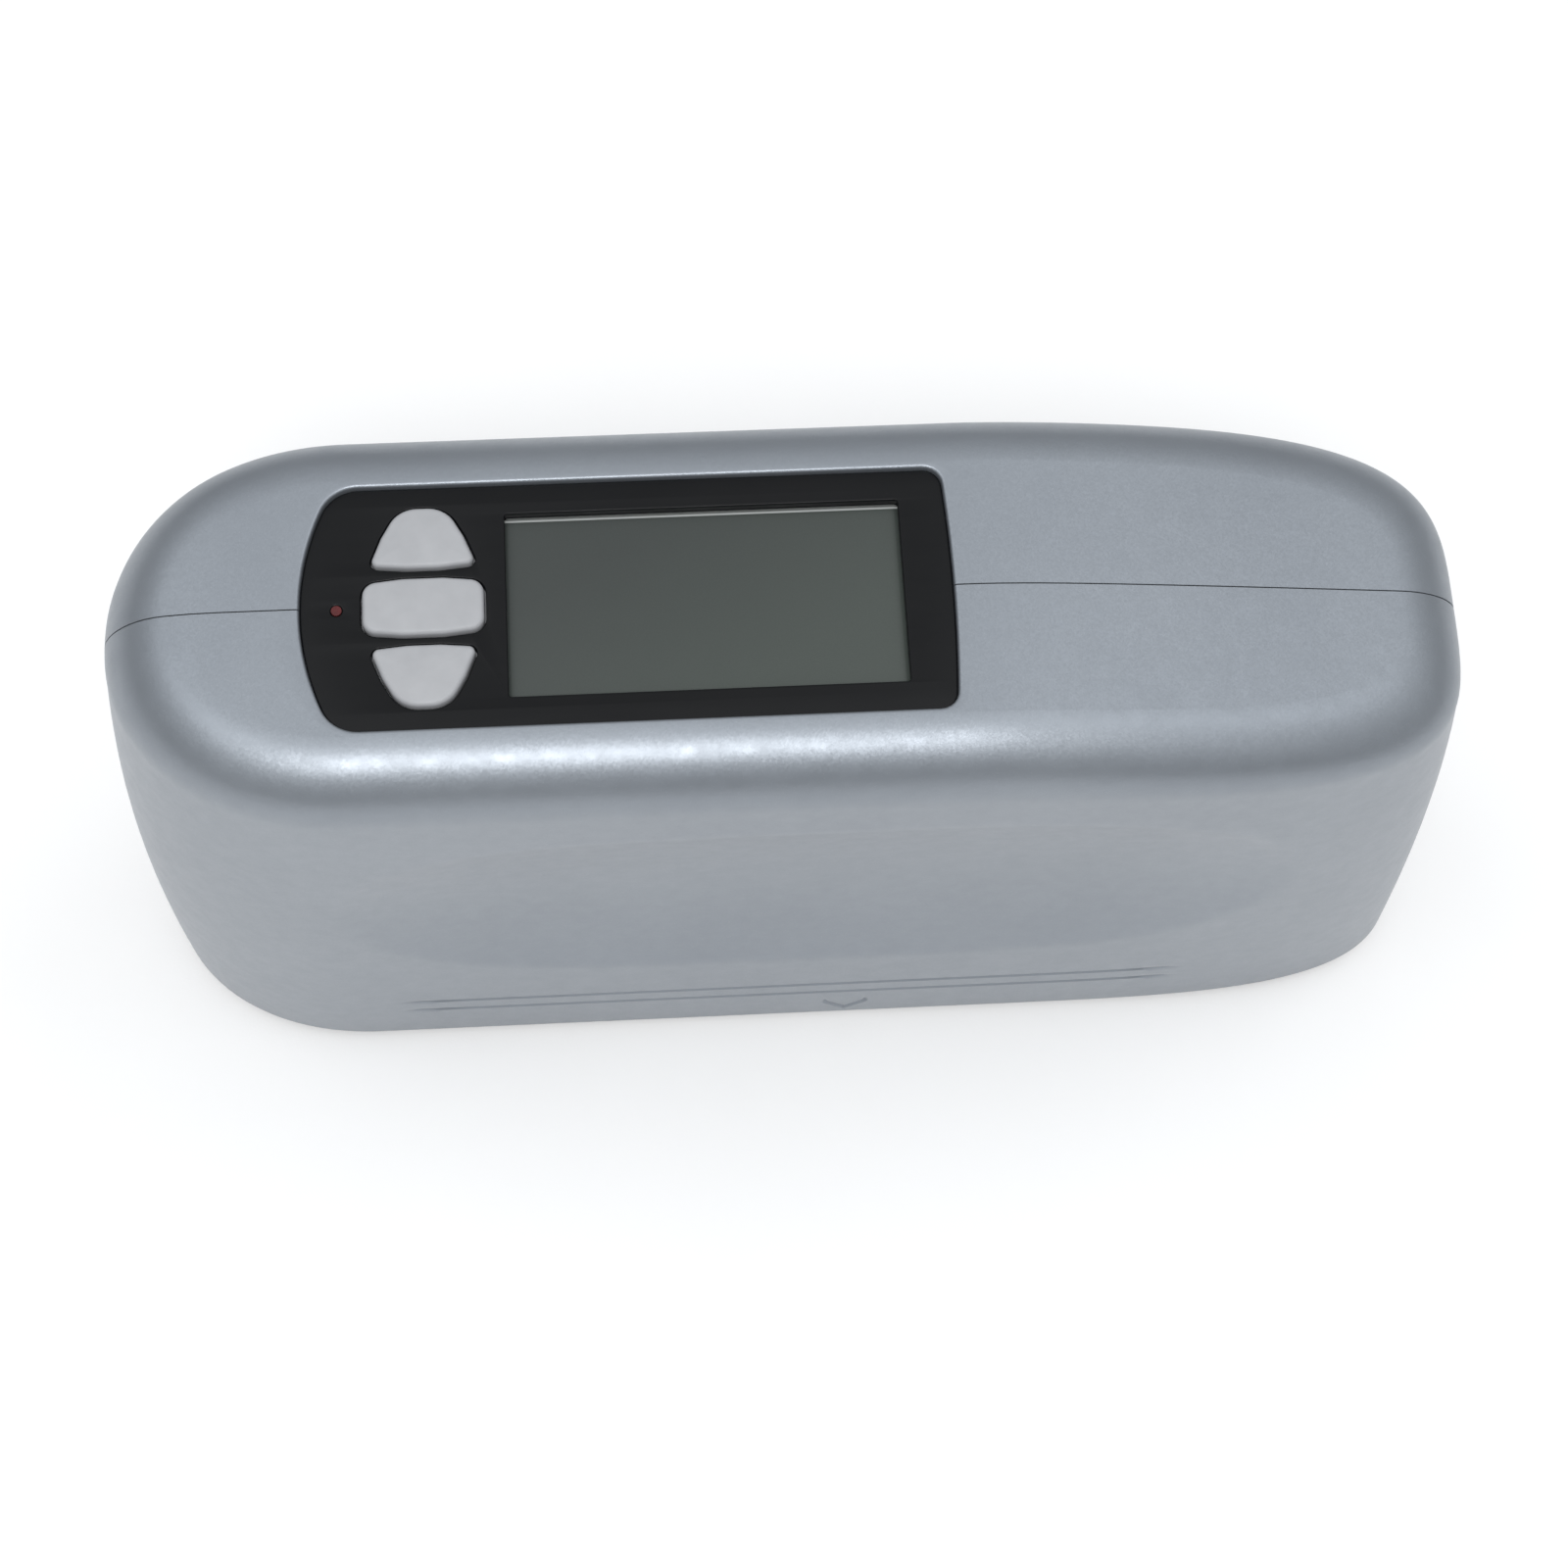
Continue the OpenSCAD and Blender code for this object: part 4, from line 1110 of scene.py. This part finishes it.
def all_finishes():
    """Every material, under the name of the record's slot."""
    for imported in list(bpy.data.materials):
        bpy.data.materials.remove(imported)
    made = [case_grey(), base_black(), panel_black(), lcd_green(), strip_rubber(), board_green(), cell_wrap(),
            glass("lens_glass", 0.95, (0.5, 2, (0.90, 0.90, 0.97), (0.95, 0.95, 1.0)), 0.03),
            glass("filter_green", 0.85, (0.8, 2, (0.32, 0.62, 0.30), (0.38, 0.68, 0.35)), 0.04),
            metal("sensor_metal", (0.45, 0.43, 0.40), (0.55, 0.53, 0.49), 0.25, 0.38, (1, 1, 0.1)),
            metal("contact_steel", (0.55, 0.54, 0.51), (0.66, 0.65, 0.62), 0.2, 0.34, (1, 0.15, 1)),
            metal("screw_steel", (0.34, 0.34, 0.35), (0.46, 0.46, 0.47), 0.28, 0.42, (1, 1, 1)),
            wire("wire_red", (0.30, 0.012, 0.012), (0.38, 0.02, 0.018)),
            wire("wire_blue", (0.012, 0.05, 0.26), (0.02, 0.07, 0.33))]
    return {material.name: material for material in made + plain_finishes()}


# ---- assembly
def attach(piece, body, slot, *nodes):
    """Gives a piece the material of the record's slot and its body, and hides the CAD nodes it stands for."""
    piece.data.materials.clear()
    piece.data.materials.append(finishes[slot])
    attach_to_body(piece, body)
    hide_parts(*nodes)


def dress_nodes():
    """Puts the detailed materials on the CAD nodes, and softens the edges of the boxy ones."""
    for entry in frame["record"]["subparts"]:
        node = frame["nodes"][entry["node"]]
        for place in node.material_slots:
            place.material = finishes[entry["material_slot"]]
        if entry["node"] in SOFTENED:
            soften = node.modifiers.new("soft_edges", "BEVEL")
            soften.width = SOFTENED[entry["node"]] * MM
            soften.segments = 2
            soften.limit_method = "ANGLE"
            soften.angle_limit = math.radians(50)


def studio_light(name, place, aim, size, power, tint=(1, 1, 1)):
    light = bpy.data.lights.new(name, "AREA")
    light.shape = "DISK"
    light.size = size
    light.energy = power
    light.color = tint
    lamp = bpy.data.objects.new(name, light)
    lamp.location = Vector(place)
    lamp.rotation_euler = (Vector(aim) - Vector(place)).to_track_quat("-Z", "Y").to_euler()
    bpy.context.scene.collection.objects.link(lamp)


def studio():
    """White paper floor, pale surroundings, and soft lights over the viewer's side."""
    bm = bmesh.new()
    bmesh.ops.create_grid(bm, x_segments=40, y_segments=40, size=1.6)
    floor = object_from(bm, "studio_floor")
    floor.location = (0, 0, -0.05 * MM)
    floor.data.materials.append(floor_paper())
    middle = (0, 0, CASE_H * MM)
    studio_light("key_light", (-0.04, -0.24, 0.6), middle, 0.19, 1.6)
    for name, across, power in (("left_light", -0.4, 0.75), ("right_light", 0.4, 0.85)):
        studio_light(name, (across, 0.1, 0.8), middle, 0.5, power, (0.96, 0.98, 1))
    world = bpy.data.worlds.new("studio_world")
    world.use_nodes = True
    tree = world.node_tree
    way = tree.nodes.new("ShaderNodeSeparateXYZ")
    tree.links.new(tree.nodes.new("ShaderNodeTexCoord").outputs["Generated"], way.inputs[0])
    rise = tree.nodes.new("ShaderNodeMapRange")
    rise.inputs["To Min"].default_value = 0.1
    rise.inputs["To Max"].default_value = 0.92
    tree.links.new(way.outputs["Z"], rise.inputs["Value"])
    surround = tree.nodes["Background"]
    surround.inputs["Color"].default_value = (0.97, 0.985, 1.0, 1)
    tree.links.new(rise.outputs[0], surround.inputs["Strength"])
    bpy.context.scene.world = world
    bpy.context.scene.view_settings.view_transform = "Standard"


def camera():
    """The photograph's view: nearly from above, turned and rolled a little."""
    height, turn, roll = (math.radians(a) for a in (69.237, 7.938, 5.051))
    level_share = math.cos(height)
    forward = Vector((math.sin(turn) * level_share, math.cos(turn) * level_share, -math.sin(height)))
    level = Vector((math.cos(turn), -math.sin(turn), 0))
    rise = level.cross(forward)
    right = math.cos(roll) * level + math.sin(roll) * rise
    up = math.cos(roll) * rise - math.sin(roll) * level
    target = Vector((-3.0, -15.5, CASE_H)) * MM
    distance = 221.37 * MM
    lens = bpy.data.cameras.new("photo_camera")
    lens.sensor_width = 36
    lens.lens = 69.24
    lens.clip_start = 0.01
    eye = bpy.data.objects.new("photo_camera", lens)
    turned = Matrix((right, up, -forward)).transposed().to_4x4()
    eye.matrix_world = Matrix.Translation(target - forward * distance) @ turned
    bpy.context.scene.collection.objects.link(eye)
    bpy.context.scene.camera = eye


SOFTENED = {"battery_holder": 0.15, "optical_block": 0.2, "contact_plate": 0.05, "case_screws": 0.06,
            "base_screws": 0.05, "optics_screws": 0.05, "holder_screws": 0.05}

finishes = all_finishes()
dress_nodes()
attach(HalfCase(-1).mesh("front_case"), "case", "case_grey", "front_shell")
attach(rear_case(), "case", "case_grey", "rear_shell")
attach(battery_door(), "door", "case_grey", "battery_door")
attach(base_plate(), "case", "base_black", "base_plate")
attach(panel(), "case", "panel_black", "display_panel")
for side, word in ((1, "up"), (0, "ok"), (-1, "down")):
    node_name = "button_" + word
    attach(button(side, "key_top_" + word, node_name), word + "_key", "key_grey", node_name)
attach(display(), "case", "lcd_green", "lcd_glass")
attach(cell(), "case", "cell_wrap", "battery_cell")
attach(spring(), "case", "contact_steel", "contact_spring")
studio()
camera()
